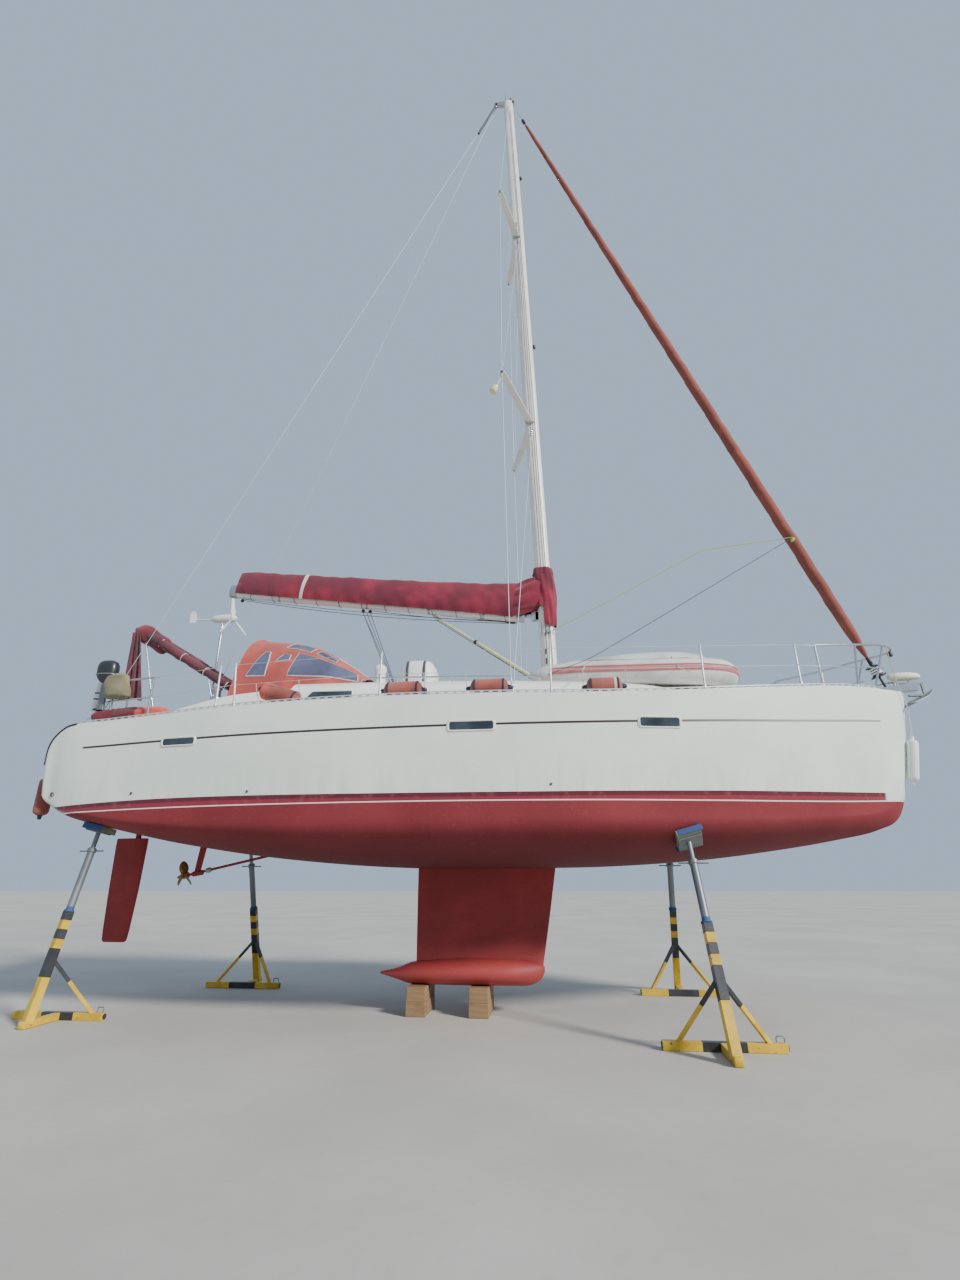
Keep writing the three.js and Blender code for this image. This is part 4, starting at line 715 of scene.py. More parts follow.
# Saloon hatch: an acrylic light in an anodised frame that hinges on its aft edge, with two
# handles and a rubber seal.
skylight = Form().block(at(-.535, -.245, 1.992), at(-.065, .245, 2.0125), .008)
for x0, y0, x1, y1 in ((-.56, -.258, -.04, -.258), (-.56, .258, -.04, .258), (-.548, -.27, -.548, .27),
        (-.052, -.27, -.052, .27)):
    skylight.bar(at(x0, y0, 1.9992), at(x1, y1, 1.9992), .024, .0275, .005, 1)
for y in (-.15, .15):
    skylight.turned(at(-.1, y, 2.011), UP, [(0, .022), (.006, .022), (.01, .012), (.014, .01)], 18, 2)
    skylight.bar(at(-.1, y, 2.019), at(-.17, y, 2.019), .014, .008, .003, 2)
skylight.piece("saloon_hatch_light", [smoked, alloy, black], "smoked_acrylic", "saloon_hatch", "saloon_hatch")


# Anchor locker lid and the two cockpit lids: moulded panels with the deck's pattern, hinged
# along one edge, each with a rubber seal, two hinges and a lifting ring.
lid = Form()
for inset, low, high, mark in ((0, .0005, .0205, 0), (.035, .01, .0265, 1)):
    ends = ((4.56 + inset, .3 - inset), (5.12 - inset, .17 - inset))
    plan = [*ends, *((x, -half) for x, half in ends[::-1])]
    lid.loft([eased([at(x, y, deck_top(x) + rise) for x, y in plan], .03, True) for rise in (low, high)],
        mark)
lid.turned(at(4.66, 0, deck_top(4.66) + .022), UP, [(0, .03), (.008, .03), (.01, .02), (.006, .012)], 20, 2)
for y in (-.1, .1):
    lid.bar(at(5.1, y - .03, deck_top(5.1) + .028), at(5.1, y + .03, deck_top(5.1) + .028), .03, .01, .003, 2)
lid.piece("anchor_locker_panel", [house_gloss, deck_white, steel], "deck_gelcoat", "anchor_locker_lid",
    "anchor_locker_lid")
SIDES = (("port", 1), ("starboard", -1))
for name, side in SIDES:
    seat = Form().block(at(-3.9, side * .395, 1.1305), at(-2.9, side * .7, 1.156), .012)
    seat.block(at(-3.86, side * .43, 1.15), at(-2.94, side * .665, 1.16), .005, 1)
    seat.turned(at(-3.4, side * .418, 1.1565), UP, [(0, .022), (.003, .022), (.0035, .014)], 18, 2)
    seat.piece(f"cockpit_lid_{name}", [house_gloss, deck_white, steel], "deck_gelcoat", f"locker_lid_{name}",
        f"locker_lid_{name}")


# Toe rails: pierced alloy extrusions bolted along the deck's edge, with the sockets of the
# stanchions standing on them. Two guard wires run through the stanchions to the end rails.
STANCHIONS_X = (-3.53, -3.25, -1.23, .95, 2.86, 4.18)
STANCHION_HIGH, STANCHION_IN = .62, .062
LEANING_X, LEAN = -3.25, .05
RAIL_AFT, RAIL_FORE = -5.65, 5.38
CHAINPLATE_X = .42


def edge_strip(form, side, outer, inner, low, high):
    """A strip along the deck's edge: how far inboard its faces are, how high over the edge."""
    corners = ((outer, low), (outer, high), (inner, high), (inner, low))
    form.loft([eased([at(x, side * (deck_y(x) - inboard), deck_h(x) + rise) for inboard, rise in corners],
        .002, True, 1) for x in spread(RAIL_AFT, RAIL_FORE, 70)])


rail_alloy = worn("rail_alloy", "cfd3d2", .4, .5, patch=.05, grain=150)
wire = worn("stay_wire", "c3c8ca", .55, .5, patch=.05, grain=300)
for name, side in SIDES:
    rail = Form()
    for faces in ((.014, .044, -.004, .005), (.016, .022, .004, .014), (.013, .026, .03, .042)):
        edge_strip(rail, side, *faces)
    for x in spread(RAIL_AFT + .02, RAIL_FORE - .02, 98):
        y, h = side * (deck_y(x) - .019), deck_h(x) + .022
        rail.bar(at(x - .022, y, h), at(x + .022, y, h), .006, .022, .001)
    for x in STANCHIONS_X:
        y, h = side * (deck_y(x) - STANCHION_IN), deck_h(x)
        foot = at(x, y, h + .004)
        top = at(x - (LEAN if x == LEANING_X else 0), y, h + STANCHION_HIGH)
        rail.block(at(x - .045, y - .032, h), at(x + .045, y + .032, h + .012), .004)
        rail.turned(foot, top - foot, [(0, .021), (.075, .02), (.085, .0155), (.09, .0125), (.6, .0125),
            (.611, .0135), (.616, .01)], 16)
        for rise in (.31, .595):
            rail.turned(foot.lerp(top, rise / .616) - Vector((0, side * .016, 0)), (0, side, 0),
                [(0, .006), (.004, .009), (.028, .009), (.032, .006)], 10)
    y, h = side * 1.345, deck_h(CHAINPLATE_X)
    rail.block(at(CHAINPLATE_X - .05, y - .012, h - .02), at(CHAINPLATE_X + .05, y + .012, h + .02), .003)
    rail.piece(f"toe_rail_and_stanchions_{name}", [rail_alloy], "stainless", f"toe_rail_{name}")
    guard = Form()
    for rise, aft_y, aft_h, fore_h in ((.31, 1.485, 1.69, 1.95), (.595, 1.49, 1.975, 2.245)):
        path = [at(x - (LEAN * rise / .6 if x == LEANING_X else 0), side * (deck_y(x) - STANCHION_IN),
            deck_h(x) + rise) for x in STANCHIONS_X]
        path = [at(-4.66, side * aft_y, aft_h), *path, at(4.53, side * .875, fore_h)]
        guard.tube(path, .0032, 8)
        for a, b in ((path[0], path[1]), (path[-1], path[-2])):
            guard.turned(a, b - a, [(0, .006), (.02, .008), (.12, .008), (.14, .005), (.2, .004)], 10)
    guard.piece(f"guard_wires_{name}", wire, "wire")


# Pulpit: stainless tube bent round the bow over an anchor roller, with a lower rail, six feet
# and a two-coloured lamp.
pulpit = Form()
high = []
for side in (1, -1):
    points = [at(x, side * y, h) for x, y, h in ((4.52, .86, 2.26), (5.15, .61, 2.33), (5.65, .33, 2.4),
        (5.88, .13, 2.4))]
    high += points if side > 0 else points[::-1]
    pulpit.tube([at(4.52, side * .86, 1.96), at(5.15, side * .59, 2.01), at(5.6, side * .32, 2.06)], .0105,
        12, bend=.1)
    for x, top in zip((4.52, 5.1, 5.42), points):
        foot = at(x, side * (deck_y(x) - .085), deck_h(x) + .01)
        pulpit.tube([foot, top], .0148, 12)
        pulpit.turned(foot - upward(.012), UP, [(0, .042), (.01, .042), (.014, .024), (.04, .021)], 18)
pulpit.tube(high, .0148, 14, bend=.16)
pulpit.piece("pulpit_tubes", steel, "stainless", "pulpit")
lamp = Form().turned(at(5.89, 0, 2.33), UP, [(0, .03), (.012, .034), (.02, .034), (.055, .034), (.064, .03),
    (.07, .01)], 24)
lamp.bar(at(5.86, 0, 2.335), at(5.86, 0, 2.4), .05, .014, .004)
lamp.piece("bow_lamp", black, "black_plastic")


# Pushpits: a rail of the same tube on each quarter, with a lower rail, a lifebuoy's light and
# a white canister for a throwing line.
QUARTER = ((-4.65, 1.49), (-5.3, 1.39), (-5.59, 1.28), (-5.63, 1.), (-5.63, .64))
for name, side in SIDES:
    quarter = Form()
    for h, size in ((1.98, .0148), (1.69, .0115)):
        quarter.tube([at(x, side * y, h) for x, y in QUARTER], size, 14, bend=.13)
    for k in (0, 1, 3, 4):
        x, y = QUARTER[k]
        foot = at(x, side * y, deck_top(x, y) - .004)
        quarter.tube([foot, at(x, side * y, 1.98)], .0145, 12)
        quarter.turned(foot, UP, [(0, .042), (.008, .042), (.012, .024), (.04, .021)], 18)
    quarter.piece(f"pushpit_tubes_{name}", steel, "stainless", f"pushpit_{name}")
CANISTER_X, CANISTER_Y, CANISTER_H, CANISTER_LEAN = -5.7, -1.2, 1.6, .06
canister = Form().turned(at(CANISTER_X, CANISTER_Y, CANISTER_H), (CANISTER_LEAN, 0, 1),
    [(0, .04), (.01, .055), (.03, .058), (.1, .058), (.104, .062), (.13, .062), (.134, .058), (.3, .058),
    (.304, .062), (.33, .062), (.334, .056), (.42, .05), (.44, .03)], 24)
canister.piece("throwing_line_canister", plastic, "white_plastic")
straps = Form()
for rise in (.16, .25):
    straps.turned(at(CANISTER_X + CANISTER_LEAN * rise, CANISTER_Y, CANISTER_H + rise), (CANISTER_LEAN, 0, 1),
        [(0, .057), (.001, .0605), (.02, .0605), (.021, .057)], 24)
straps.piece("throwing_line_straps", black, "black_plastic")


# Bow roller: two folded stainless cheeks on the stem with a nylon roller between them, and a
# cream cover over the windlass's fore end. The anchor, a galvanised plough, lies in it.
ACROSS = (0, 1, 0)
CHEEK = ((5.58, 1.79), (5.95, 1.79), (6.13, 1.8), (6.13, 1.9), (6.02, 1.9), (5.72, 1.86), (5.58, 1.83))
cheeks = Form()
for y in (-.062, .05):
    cheeks.prism(eased([at(x, y, h) for x, h in CHEEK], .03, True), (0, .012, 0))
cheeks.block(at(5.6, -.055, 1.787), at(6.12, .055, 1.8), .004)
cheeks.turned(at(6.08, -.066, 1.85), ACROSS, [(0, .01), (.004, .014), (.014, .014), (.018, .009),
    (.114, .009), (.118, .014), (.128, .014), (.132, .01)], 16)
cheeks.turned(at(6.08, -.046, 1.85), ACROSS, [(0, .03), (.008, .032), (.035, .02), (.057, .02), (.084, .032),
    (.092, .03)], 24, 1)
cheeks.piece("bow_roller_cheeks", [steel, black], "stainless", "bow_roller")
cream = worn("cream_cover", "e9e4d2", .5, patch=.06, grain=50)
POD_ROWS = ((.55, 1.965), (.8, 1.972), (.97, 1.99), (1, 2.01), (.97, 2.035), (.85, 2.055), (.6, 2.068),
    (.3, 2.073))
pod = Form().loft([[at(5.995 + .225 * wide * cos(a), .085 * wide * sin(a), h) for a in turns(32)]
    for wide, h in POD_ROWS])
pod.tube([at(5.85, 0, 1.8), at(5.86, 0, 1.97)], .018, 12)
pod.tube([at(6.06, .03, 1.93), at(6.06, .03, 1.975)], .012, 10)
pod.piece("bow_lamp_pod", cream, "white_plastic")
galvanised = worn("galvanised", "8b9194", .6, .6, patch=.2, grain=45, depth=.0016)
anchor = Form()
shank = ((5.85, 1.885), (6.23, 1.885), (6.23, 1.915), (6.1, 1.925), (5.85, 1.92))
anchor.prism(eased([at(x, -.0085, h) for x, h in shank], .012, True), (0, .017, 0))
anchor.bar(at(6.212, 0, 1.915), at(6.225, 0, 1.72), .028, .038, .006)
anchor.turned(at(5.88, -.018, 1.903), ACROSS, [(0, .012), (.036, .012)], 14)
# x, inner and outer edge of a fluke, heights of the two, thickness
FLUKE_ROWS = ((5.975, .018, .185, 1.645, 1.6, .014), (6.05, .018, .178, 1.67, 1.628, .014),
    (6.15, .018, .145, 1.712, 1.672, .013), (6.23, .016, .1, 1.752, 1.715, .012),
    (6.3, .01, .05, 1.798, 1.775, .01), (6.357, .003, .014, 1.83, 1.826, .006))
for side in (-1, 1):
    rings = []
    for x, inner, outer, high, low, thick in FLUKE_ROWS:
        face = [(inner, high), ((inner + outer) / 2, (high + low) / 2 - .012), (outer, low)]
        rings.append([at(x, side * y, h) for y, h in face] + [at(x + .004, side * y, h - thick)
            for y, h in face[::-1]])
    anchor.loft(rings)
anchor.block(at(6., -.023, 1.716), at(6.23, .023, 1.744), .006)
anchor.tube([at(5.9, 0, 1.935), at(5.75, .005, 1.93), at(5.6, .01, 1.9), at(5.45, .01, 1.872)], .011, 8)
anchor.piece("plough_anchor", galvanised, "galvanised", "anchor")


# Mast: an extruded alloy tube, oval, with a groove for the luff on its aft face. It is stepped
# through the coachroof and carries the masthead's crane, a whip aerial and the wind instruments.
spar = worn("painted_spar", "e6e5dc", .34, 0., patch=.05, grain=120, depth=.0003)
MAST_FOOT, MAST_TOP = 1.7, 16.3


def mast_x(h):
    return .988 - .02846 * h


def mast_ring(h, grow=0.):
    """The mast's section, with the groove in its aft face unless it is grown for a collar."""
    taper = min(1, max(0, (h - 12.5) / 3.8))
    long, wide = .125 - .02 * taper + grow, .08 - .012 * taper + grow
    ring = [at(mast_x(h) + long * cos(turn), wide * sin(turn), h) for turn in spread(pi - .07, .07 - pi, 40)]
    groove = () if grow else ((-.116, -.004), (-.1, -.004), (-.1, .004), (-.116, .004))
    return ring + [at(mast_x(h) + x * long / .125, y, h) for x, y in groove]


mast = Form().loft([mast_ring(h) for h in (MAST_FOOT, 4., 8., 12.5, 14., 15.2, MAST_TOP)])
COLLAR_ROWS = ((1.93, .002), (1.935, .022), (1.96, .022), (1.975, .004), (1.99, .002))
mast.loft([mast_ring(h, grow) for h, grow in COLLAR_ROWS], 1)
crane_x = mast_x(16.3)
CRANE = ((-.33, 16.235), (-.33, 16.31), (-.3, 16.33), (.13, 16.33), (.15, 16.315), (.15, 16.26), (.1, 16.21),
    (-.15, 16.21))
mast.prism(eased([at(crane_x + x, -.034, h) for x, h in CRANE], .012, True), (0, .068, 0), 2)
for x in (-.27, .11):
    mast.turned(at(crane_x + x, -.042, 16.262), ACROSS, [(0, .026), (.008, .03), (.076, .03), (.084, .026)],
        20, 1)
mast.tube([at(crane_x - .06, 0, h) for h in (16.32, 16.38, 16.68)], [.014, .006, .0025], 10, 1)
mast.turned(at(crane_x + .055, 0, 16.32), UP, [(0, .03), (.03, .034), (.085, .034), (.105, .018),
    (.11, .006)], 20, 1)
for h in (2.46, 2.62):
    plate = ((-.045, -.05), (-.03, -.05), (-.03, .05), (-.045, .05))
    mast.prism(eased([at(mast_x(h) + x, -.078, h + z) for x, z in plate], .006, True), (0, -.006, 0), 1)
for h, side in ((2.35, -1), (2.38, 1), (2.95, -1), (2.9, 1)):
    foot = at(mast_x(h) + .02, side * .079, h)
    mast.turned(foot, (0, side, 0), [(0, .03), (.012, .03), (.02, .024), (.04, .022), (.048, .03),
        (.056, .026)], 20, 2)
for h in (8.8, 13.6):
    front = mast_x(h) + .122
    mast.block(at(front - .01, -.02, h), at(front + .014, .02, h + .1), .004, 2)
    mast.turned(at(front + .028, 0, h + .015), UP, [(0, .026), (.01, .03), (.06, .03), (.07, .02)], 20, 1)
for side in (-1, 1):
    for z in (.072, -.072):
        mast.block(at(.668, side * .024 - .005, 3.25 + z - .006), at(.79, side * .024 + .005,
            3.25 + z + .006), .002, 2)
    mast.block(at(.668, side * .0265 - .0035, 3.18), at(.8, side * .0265 + .0035, 3.32), .002, 2)
mast.block(at(.73, -.03, 3.175), at(.812, .03, 3.325), .004, 2)
mast.turned(at(.69, 0, 3.172), UP, [(0, .012), (.004, .014), (.15, .014), (.156, .012)], 16, 2)
mast.block(at(.765, -.014, 2.1), at(.84, .014, 2.2), .004, 2)
mast.piece("mast_extrusion", [spar, black, alloy], "white_spar", "mast", crease=30)


# Spreaders: two pairs of alloy aerofoils, swept aft, each in a socket on the mast with a plastic
# end that holds the shroud. A small deck light hangs under the lower starboard one.
for level, h, reach in (("lower", 7.03, 1.34), ("upper", 11.78, 1.03)):
    for name, side in SIDES:
        root, tip = at(mast_x(h) - .02, side * .05, h - .02), at(.37, side * reach, h + .01)
        spreader, rings = Form(), []
        for t in spread(0, 1, 8):
            chord, thick = .074 - .018 * t, .027 - .008 * t
            rings.append([root.lerp(tip, t) + Vector((chord * cos(a), 0, thick * sin(a)
                * (1 + .25 * cos(a)) / 1.1)) for a in turns(28)])
        spreader.loft(rings)
        spreader.loft([[root.lerp(tip, t) + Vector(((.074 + grow) * cos(a), 0, (.027 + grow) * sin(a)))
            for a in turns(28)] for t, grow in ((-.01, .004), (.07, .006), (.075, .001))], 1)
        spreader.turned(tip - Vector((0, side * .02, 0)), (0, side, .1),
            [(0, .012), (.006, .026), (.026, .026), (.036, .012)], 18, 2)
        spreader.piece(f"spreader_{level}_{name}_foil", [spar, alloy, black], "white_spar",
            f"spreader_{level}_{name}")
lamp_yellow = worn("lamp_lens", "d9dfae", .3, patch=.1, grain=40)
reflector = Form().tube([at(.36, -1.28, 7.03), at(.3, -1.28, 6.86)], .008, 8)
reflector.turned(at(.305, -1.28, 6.88), (-.5, -.1, -1), [(0, .012), (.07, .012), (.08, .04), (.1, .058),
    (.2, .064), (.215, .058), (.22, .02)], 24)
reflector.piece("spreader_lamp", lamp_yellow, "white_plastic")


# Standing rigging: stainless wires from the masthead and the spreaders to the rails and the
# quarters, each ended by a swaged terminal and a bottlescrew.
def screw(form, foot, towards, long=.3):
    """A bottlescrew and a terminal from a foot along a wire."""
    form.turned(foot, towards, [(0, .008), (.004, .015), (.03, .015), (.034, .007), (.075, .007),
        (.08, .0125), (.09, .014), (.19, .014), (.2, .0125), (.205, .007), (.24, .007), (.245, .009),
        (long, .0085), (long + .03, .005)], 14, 1)


for name, side in SIDES:
    cap, low = Form(), Form()
    foot = at(CHAINPLATE_X, side * 1.33, deck_h(CHAINPLATE_X) + .03)
    tips = [at(.37, side * 1.35, 7.04), at(.37, side * 1.04, 11.79), at(mast_x(16.05), side * .06, 16.05)]
    cap.tube([foot, *tips], .0052, 10)
    screw(cap, foot, tips[0] - foot)
    cap.turned(tips[2], tips[1] - tips[2], [(0, .012), (.05, .011), (.055, .008), (.16, .008), (.17, .005)],
        12, 1)
    cap.bar(at(mast_x(16.05), side * .04, 16.08), at(mast_x(16.05), side * .068, 16.05), .03, .008, .002, 1)
    cap.piece(f"cap_shroud_{name}_wire", [wire, steel], "wire", f"cap_shroud_{name}")
    foot = at(CHAINPLATE_X, side * 1.285, deck_h(CHAINPLATE_X) + .03)
    head = at(mast_x(6.86), side * .075, 6.86)
    low.tube([foot, head], .0046, 10)
    screw(low, foot, head - foot)
    low.turned(head, foot - head, [(0, .012), (.04, .01), (.045, .0075), (.13, .0075), (.14, .0046)], 12, 1)
    low.piece(f"lower_shroud_{name}_wire", [wire, steel], "wire", f"lower_shroud_{name}")
    start, end = at(.375, side * 1.32, 7.06), at(mast_x(11.62), side * .072, 11.62)
    inner = Form().tube([start, end], .0042, 10)
    inner.turned(end, start - end, [(0, .011), (.04, .009), (.045, .007), (.13, .007), (.14, .0042)], 12, 1)
    inner.turned(start, end - start, [(0, .009), (.03, .009), (.035, .007), (.13, .007), (.14, .0042)], 12, 1)
    inner.piece(f"intermediate_shroud_{name}", [wire, steel], "wire")
    stay = Form()
    head, foot = at(crane_x - .29, side * .022, 16.207), at(-5.672, side * 1.185, 1.39)
    stay.tube([foot, head], .0042, 10)
    screw(stay, foot.lerp(head, .004), head - foot, .38)
    stay.turned(head, foot - head, [(0, .014), (.05, .012), (.055, .009), (.2, .009), (.21, .0042)], 12, 1)
    stay.bar(at(-5.672, side * 1.185, 1.28), at(-5.672, side * 1.185, 1.412), .048, .018, .004, 1,
        up=(1, 0, 0))
    stay.piece(f"backstay_{name}_wire", [wire, steel], "wire", f"backstay_{name}")
cover_black = worn("taped_wire", "3c3f42", .6, patch=.1, grain=90)
hoist = Form().tube([at(crane_x - .3, -.05, 16.15), at(crane_x - .68, -.12, 15.15)], [.02, .026], 12)
hoist.piece("backstay_flag_halyard_cover", cover_black, "black_plastic")


# Headsail: a genoa rolled round its foil, with the dyed strip along the leech outermost, so that
# the roll shows as a spiral of canvas. Its drum and swivel turn on the forestay.
canvas = worn("red_strip", "8a4a3e", .85, patch=.16, grain=420, depth=.0006)
stay_foot, stay_head = at(5.768, 0, 1.76), at(.7, 0, 16.)
stay_along = (stay_head - stay_foot).normalized()
# distance up the stay, radius of the roll
ROLL_ROWS = [(.6, .02), (.66, .034), (1.04, .078), (2.6, .092), (7., .086), (11.5, .062), (14., .04),
    (14.45, .026), (14.5, .016)]
roll_radius = curve_through(ROLL_ROWS, 1)
fittings = Form().tube([stay_foot, stay_head], .0105, 12, 1)
fittings.turned(stay_foot, stay_along, [(0, .012), (.02, .018), (.285, .016), (.286, .1), (.292, .105),
    (.306, .105), (.311, .07), (.435, .07), (.44, .105), (.454, .105), (.46, .03), (.6, .027)], 36)
fittings.turned(stay_foot + stay_along * 14.55, stay_along, [(0, .014), (.01, .03), (.05, .034), (.11, .034),
    (.15, .028), (.16, .014)], 24)
for k in range(3):
    fittings.turned(stay_foot + stay_along * (.33 + .035 * k), stay_along,
        [(0, .07), (.001, .0765), (.022, .0765), (.023, .07)], 30, 2)
fittings.bar(at(5.74, 0, 1.745), at(5.8, 0, 1.8), .05, .03, .004, 1)
fittings.piece("headsail_furler", [black, steel, plastic], "black_plastic")
roll, rings = Form(), []
side = stay_along.cross(Vector((0, 1, 0))).normalized()
other = stay_along.cross(side)
for k in range(281):
    d = .6 + 13.9 * k / 280
    size, twist = roll_radius(d), d / .78
    ring = []
    for n, turn in enumerate(turns(32)):
        lap = (n / 32 + twist) % 1
        ruck = .035 * sin(9.1 * d + 2.2 * sin(3.7 * d)) * sin(turn + d)
        radius = size * (.9 + .1 * lap + ruck)
        ring.append(stay_foot + stay_along * d + side * radius * cos(turn) + other * radius * sin(turn))
    rings.append(ring)
roll.loft(rings)
furled = roll.piece("headsail_roll", canvas, "red_canvas", "forestay_furled_sail", crease=28)
sheets = Form()
clew = stay_foot + stay_along * 2.75 + Vector((0, -.085, 0))
sheets.tube([clew, at(3.41, -.2, 4.16), at(1.6, -.16, 3.23), at(mast_x(2.9) + .02, -.1, 2.92)], .0065, 8,
    bend=.12)
sheets.tube([clew, at(2.34, -.55, 2.77), at(1.52, -.8, 2.23), at(.9, -.92, 1.97)], .0055, 8, 1, .12)
sheets.turned(clew - stay_along * .02, (-.4, -.1, -.5), [(0, .02), (.03, .032), (.07, .026), (.09, .012)], 14)
line_green = worn("line_green", "a9ae5a", .8, patch=.12, grain=500)
line_dark = worn("line_dark", "4b4a50", .8, patch=.15, grain=500)
sheets.piece("headsail_sheets", [line_green, line_dark], "wire")


# Boom: an extruded alloy section with end castings, pinned to the mast at its gooseneck. The kicker
# below it is a sprung rod, open at the mast's foot.
def boom_axis(x):
    return 3.25 + (.69 - x) * .145038


def boom_at(x, y, rise):
    """A point on the boom: along it, across it, and square to it."""
    return at(x + rise * .1435, y, boom_axis(x) + rise * .9896)


boom = Form()
HALF_SECTION = [(.028, .115), (.06, .085), (.066, .02), (.066, -.03), (.056, -.088), (.022, -.115)]
SECTION = HALF_SECTION + [(-y, z) for y, z in HALF_SECTION[::-1]]


def boom_length(rows, mark=0):
    """A length of the boom's section, from places along it and how far the section is scaled."""
    boom.loft([eased([boom_at(x, y * scale, z * scale) for y, z in SECTION], .02, True, 2)
        for x, scale in rows], mark)


boom_length(((-4.535, .96), (-4.53, 1.), (.552, 1.), (.557, .96)))
for x0, x1 in ((-4.55, -4.4), (.43, .56)):
    boom_length(((x0, .9), (x0 + .01, 1.03), (x1 - .01, 1.03), (x1, 1.)), 2)
boom.bar(at(.52, 0, 3.25 + .018), at(.702, 0, 3.25), .052, .06, .006, 2)
for x in (-3.62, -2.06, -1., -.1):
    boom_length([(x + dx, scale) for dx, scale in ((-.022, 1.), (-.02, 1.035), (.02, 1.035), (.022, 1.))], 2)
for x in (-2.12, -2., -4.3):
    boom.turned(boom_at(x, -.012, -.155), ACROSS, [(0, .02), (.004, .03), (.02, .03), (.024, .02)], 20, 1)
    boom.bar(boom_at(x, 0, -.1), boom_at(x, 0, -.165), .02, .03, .004, 2, up=(1, 0, 0))
boom.piece("boom_extrusion", [spar, black, alloy], "white_spar", "boom", "boom", 30)
kicker_paint = worn("kicker_paint", "c9cda0", .4, .1, patch=.08, grain=70)
kicker_foot, kicker_head = at(.765, 0, 2.15), at(-1., 0, boom_axis(-1.) - .1)
kicker_way = kicker_head - kicker_foot
kicker = Form().turned(kicker_foot, kicker_way, [(0, .012), (.02, .022), (.05, .024), (.06, .032),
    (1.15, .032), (1.17, .026), (1.19, .022), (1.98, .022), (2., .028), (2.06, .028), (2.1, .014)], 22)
kicker.turned(kicker_foot.lerp(kicker_head, .56), kicker_way, [(0, .033), (.004, .035), (.04, .035),
    (.044, .03)], 22, 1)
kicker.tube([kicker_foot.lerp(kicker_head, share) - upward(.045) for share in (.05, .93)], .005, 8, 1)
kicker.piece("kicker_strut", [kicker_paint, black], "vang_paint", "boom_vang", "boom")
reefs = Form()
for y, sag, x0, x1 in ((-.03, .055, -4.3, .45), (.03, .085, -4.3, .45), (0., .03, -2., .2)):
    reefs.tube([boom_at(x0 + (x1 - x0) * k / 18, y, -.135 - sag * sin(pi * k / 18)) for k in range(19)],
        .0055, 8)
reefs.piece("boom_reefing_lines", line_dark, "wire", body="boom")


# Mainsail cover: a stitched sleeve of acrylic canvas over the sail stowed on the boom, laced below
# it. Its fore end rises to the mast, where a separate collar of the same canvas wraps it.
def thickened(made, thick, crease=60):
    """Gives a surface the thickness of its cloth."""
    shell = made.modifiers.new("cloth", "SOLIDIFY")
    shell.thickness, shell.offset = thick, 0
    settle(made, crease)
    return made


def woven(name, lit, shaded, folds=3.):
    """Acrylic canvas: a fine weave, broad random patches mixed between a lit and a shaded copy of its colour
    as painted light and shade, darker stains in the shaded colour, and soft folds.
    """
    finish = Finish(name, lit, .88, Sheen_Weight=.25)
    broad, blotch = finish.noise(1.6, 5), finish.noise(5.5, 5, (1, 1, 1.8))
    tone = finish.mix(broad.step(.38, .62), lit, shaded)
    finish.put("Base Color", finish.mix(blotch.step(.55, .8) * .35, tone, shaded))
    weave = (finish.x * 2600).wave() + (finish.z * 2600).wave()
    finish.relief(weave * .04 + finish.noise(folds, 3, (1, 1, 2.2)), .012, .35)
    return finish


burgundy = woven("burgundy_canvas", "861c34", "65142a")
pale_trim = worn("pale_trim", "cfc8bb", .8, patch=.1, grain=200)
# place along the boom, low and high edge over its axis, half width
COVER_ROWS = [(-4.43, -.05, .37, .09), (-4.3, -.06, .395, .1), (-3.2, -.07, .42, .125),
    (-1.2, -.08, .47, .15), (-.1, -.09, .52, .17), (.38, -.11, .56, .175)]
cover_low, cover_high, cover_half = (curve_through(COVER_ROWS, k) for k in (1, 2, 3))
# half width and height of the section, as shares
COVER_HALF = [(.82, .02), (1, .22), (.86, .6), (.36, .97)]
COVER_SECTION = COVER_HALF + [(0, 1)] + [(-w, t) for w, t in COVER_HALF[::-1]]


def cover_ring(x):
    low, high, half = cover_low(x), cover_high(x), cover_half(x)
    ruck = .006 * sin(7.3 * x) + .004 * sin(17.9 * x + 1.)
    ring = [boom_at(x, half * w * (1 + ruck), low + (high - low) * t + ruck * t * .8)
        for w, t in COVER_SECTION]
    return [p + Vector((0, copysign(.006, p.y), 0)) * sin(24 * x + 9 * (p.z % 1)) for p in eased(ring, .085)]


cover = Form().loft([cover_ring(-4.43 + 4.81 * k / 120) for k in range(121)], ends=False, closed=False)
sleeve = thickened(cover.piece("mainsail_cover", burgundy, "red_canvas", "sail_cover", None), .004)
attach(sleeve, "boom")
BAND_X = -3.22
centre = boom_at(BAND_X, 0, (cover_low(BAND_X) + cover_high(BAND_X)) / 2)
band = Form().loft([[p + (p - centre) * .03 for p in cover_ring(BAND_X + dx)] for dx in (-.028, .028)],
    ends=False, closed=False)
thickened(band.piece("mainsail_cover_bands", pale_trim, "red_canvas", body="boom"), .003)
lacing = Form()
for k in range(12):
    x = -4.15 + .4 * k
    lacing.tube([boom_at(x, -.105, cover_low(x) + .03), boom_at(x + .02, -.05, -.128),
        boom_at(x + .02, .05, -.128), boom_at(x, .105, cover_low(x) + .03)], .004, 6, bend=.05)
lacing.piece("mainsail_cover_lacing", line_dark, "wire", body="boom")


def collar_ring(h):
    t = (h - 3.05) / 1.03
    grow = .03 + .035 * sin(pi * min(1, max(0, t))) ** .7
    ring = []
    for turn in spread(pi - .35, .35 - pi, 60):
        pleat = .006 * sin(13 * turn + 6 * h) * (1 - .4 * t) + .008 * sin(5 * turn + 11 * h)
        ring.append(at(mast_x(h) + (.125 + grow + pleat) * cos(turn), (.08 + grow + pleat) * sin(turn), h))
    return ring


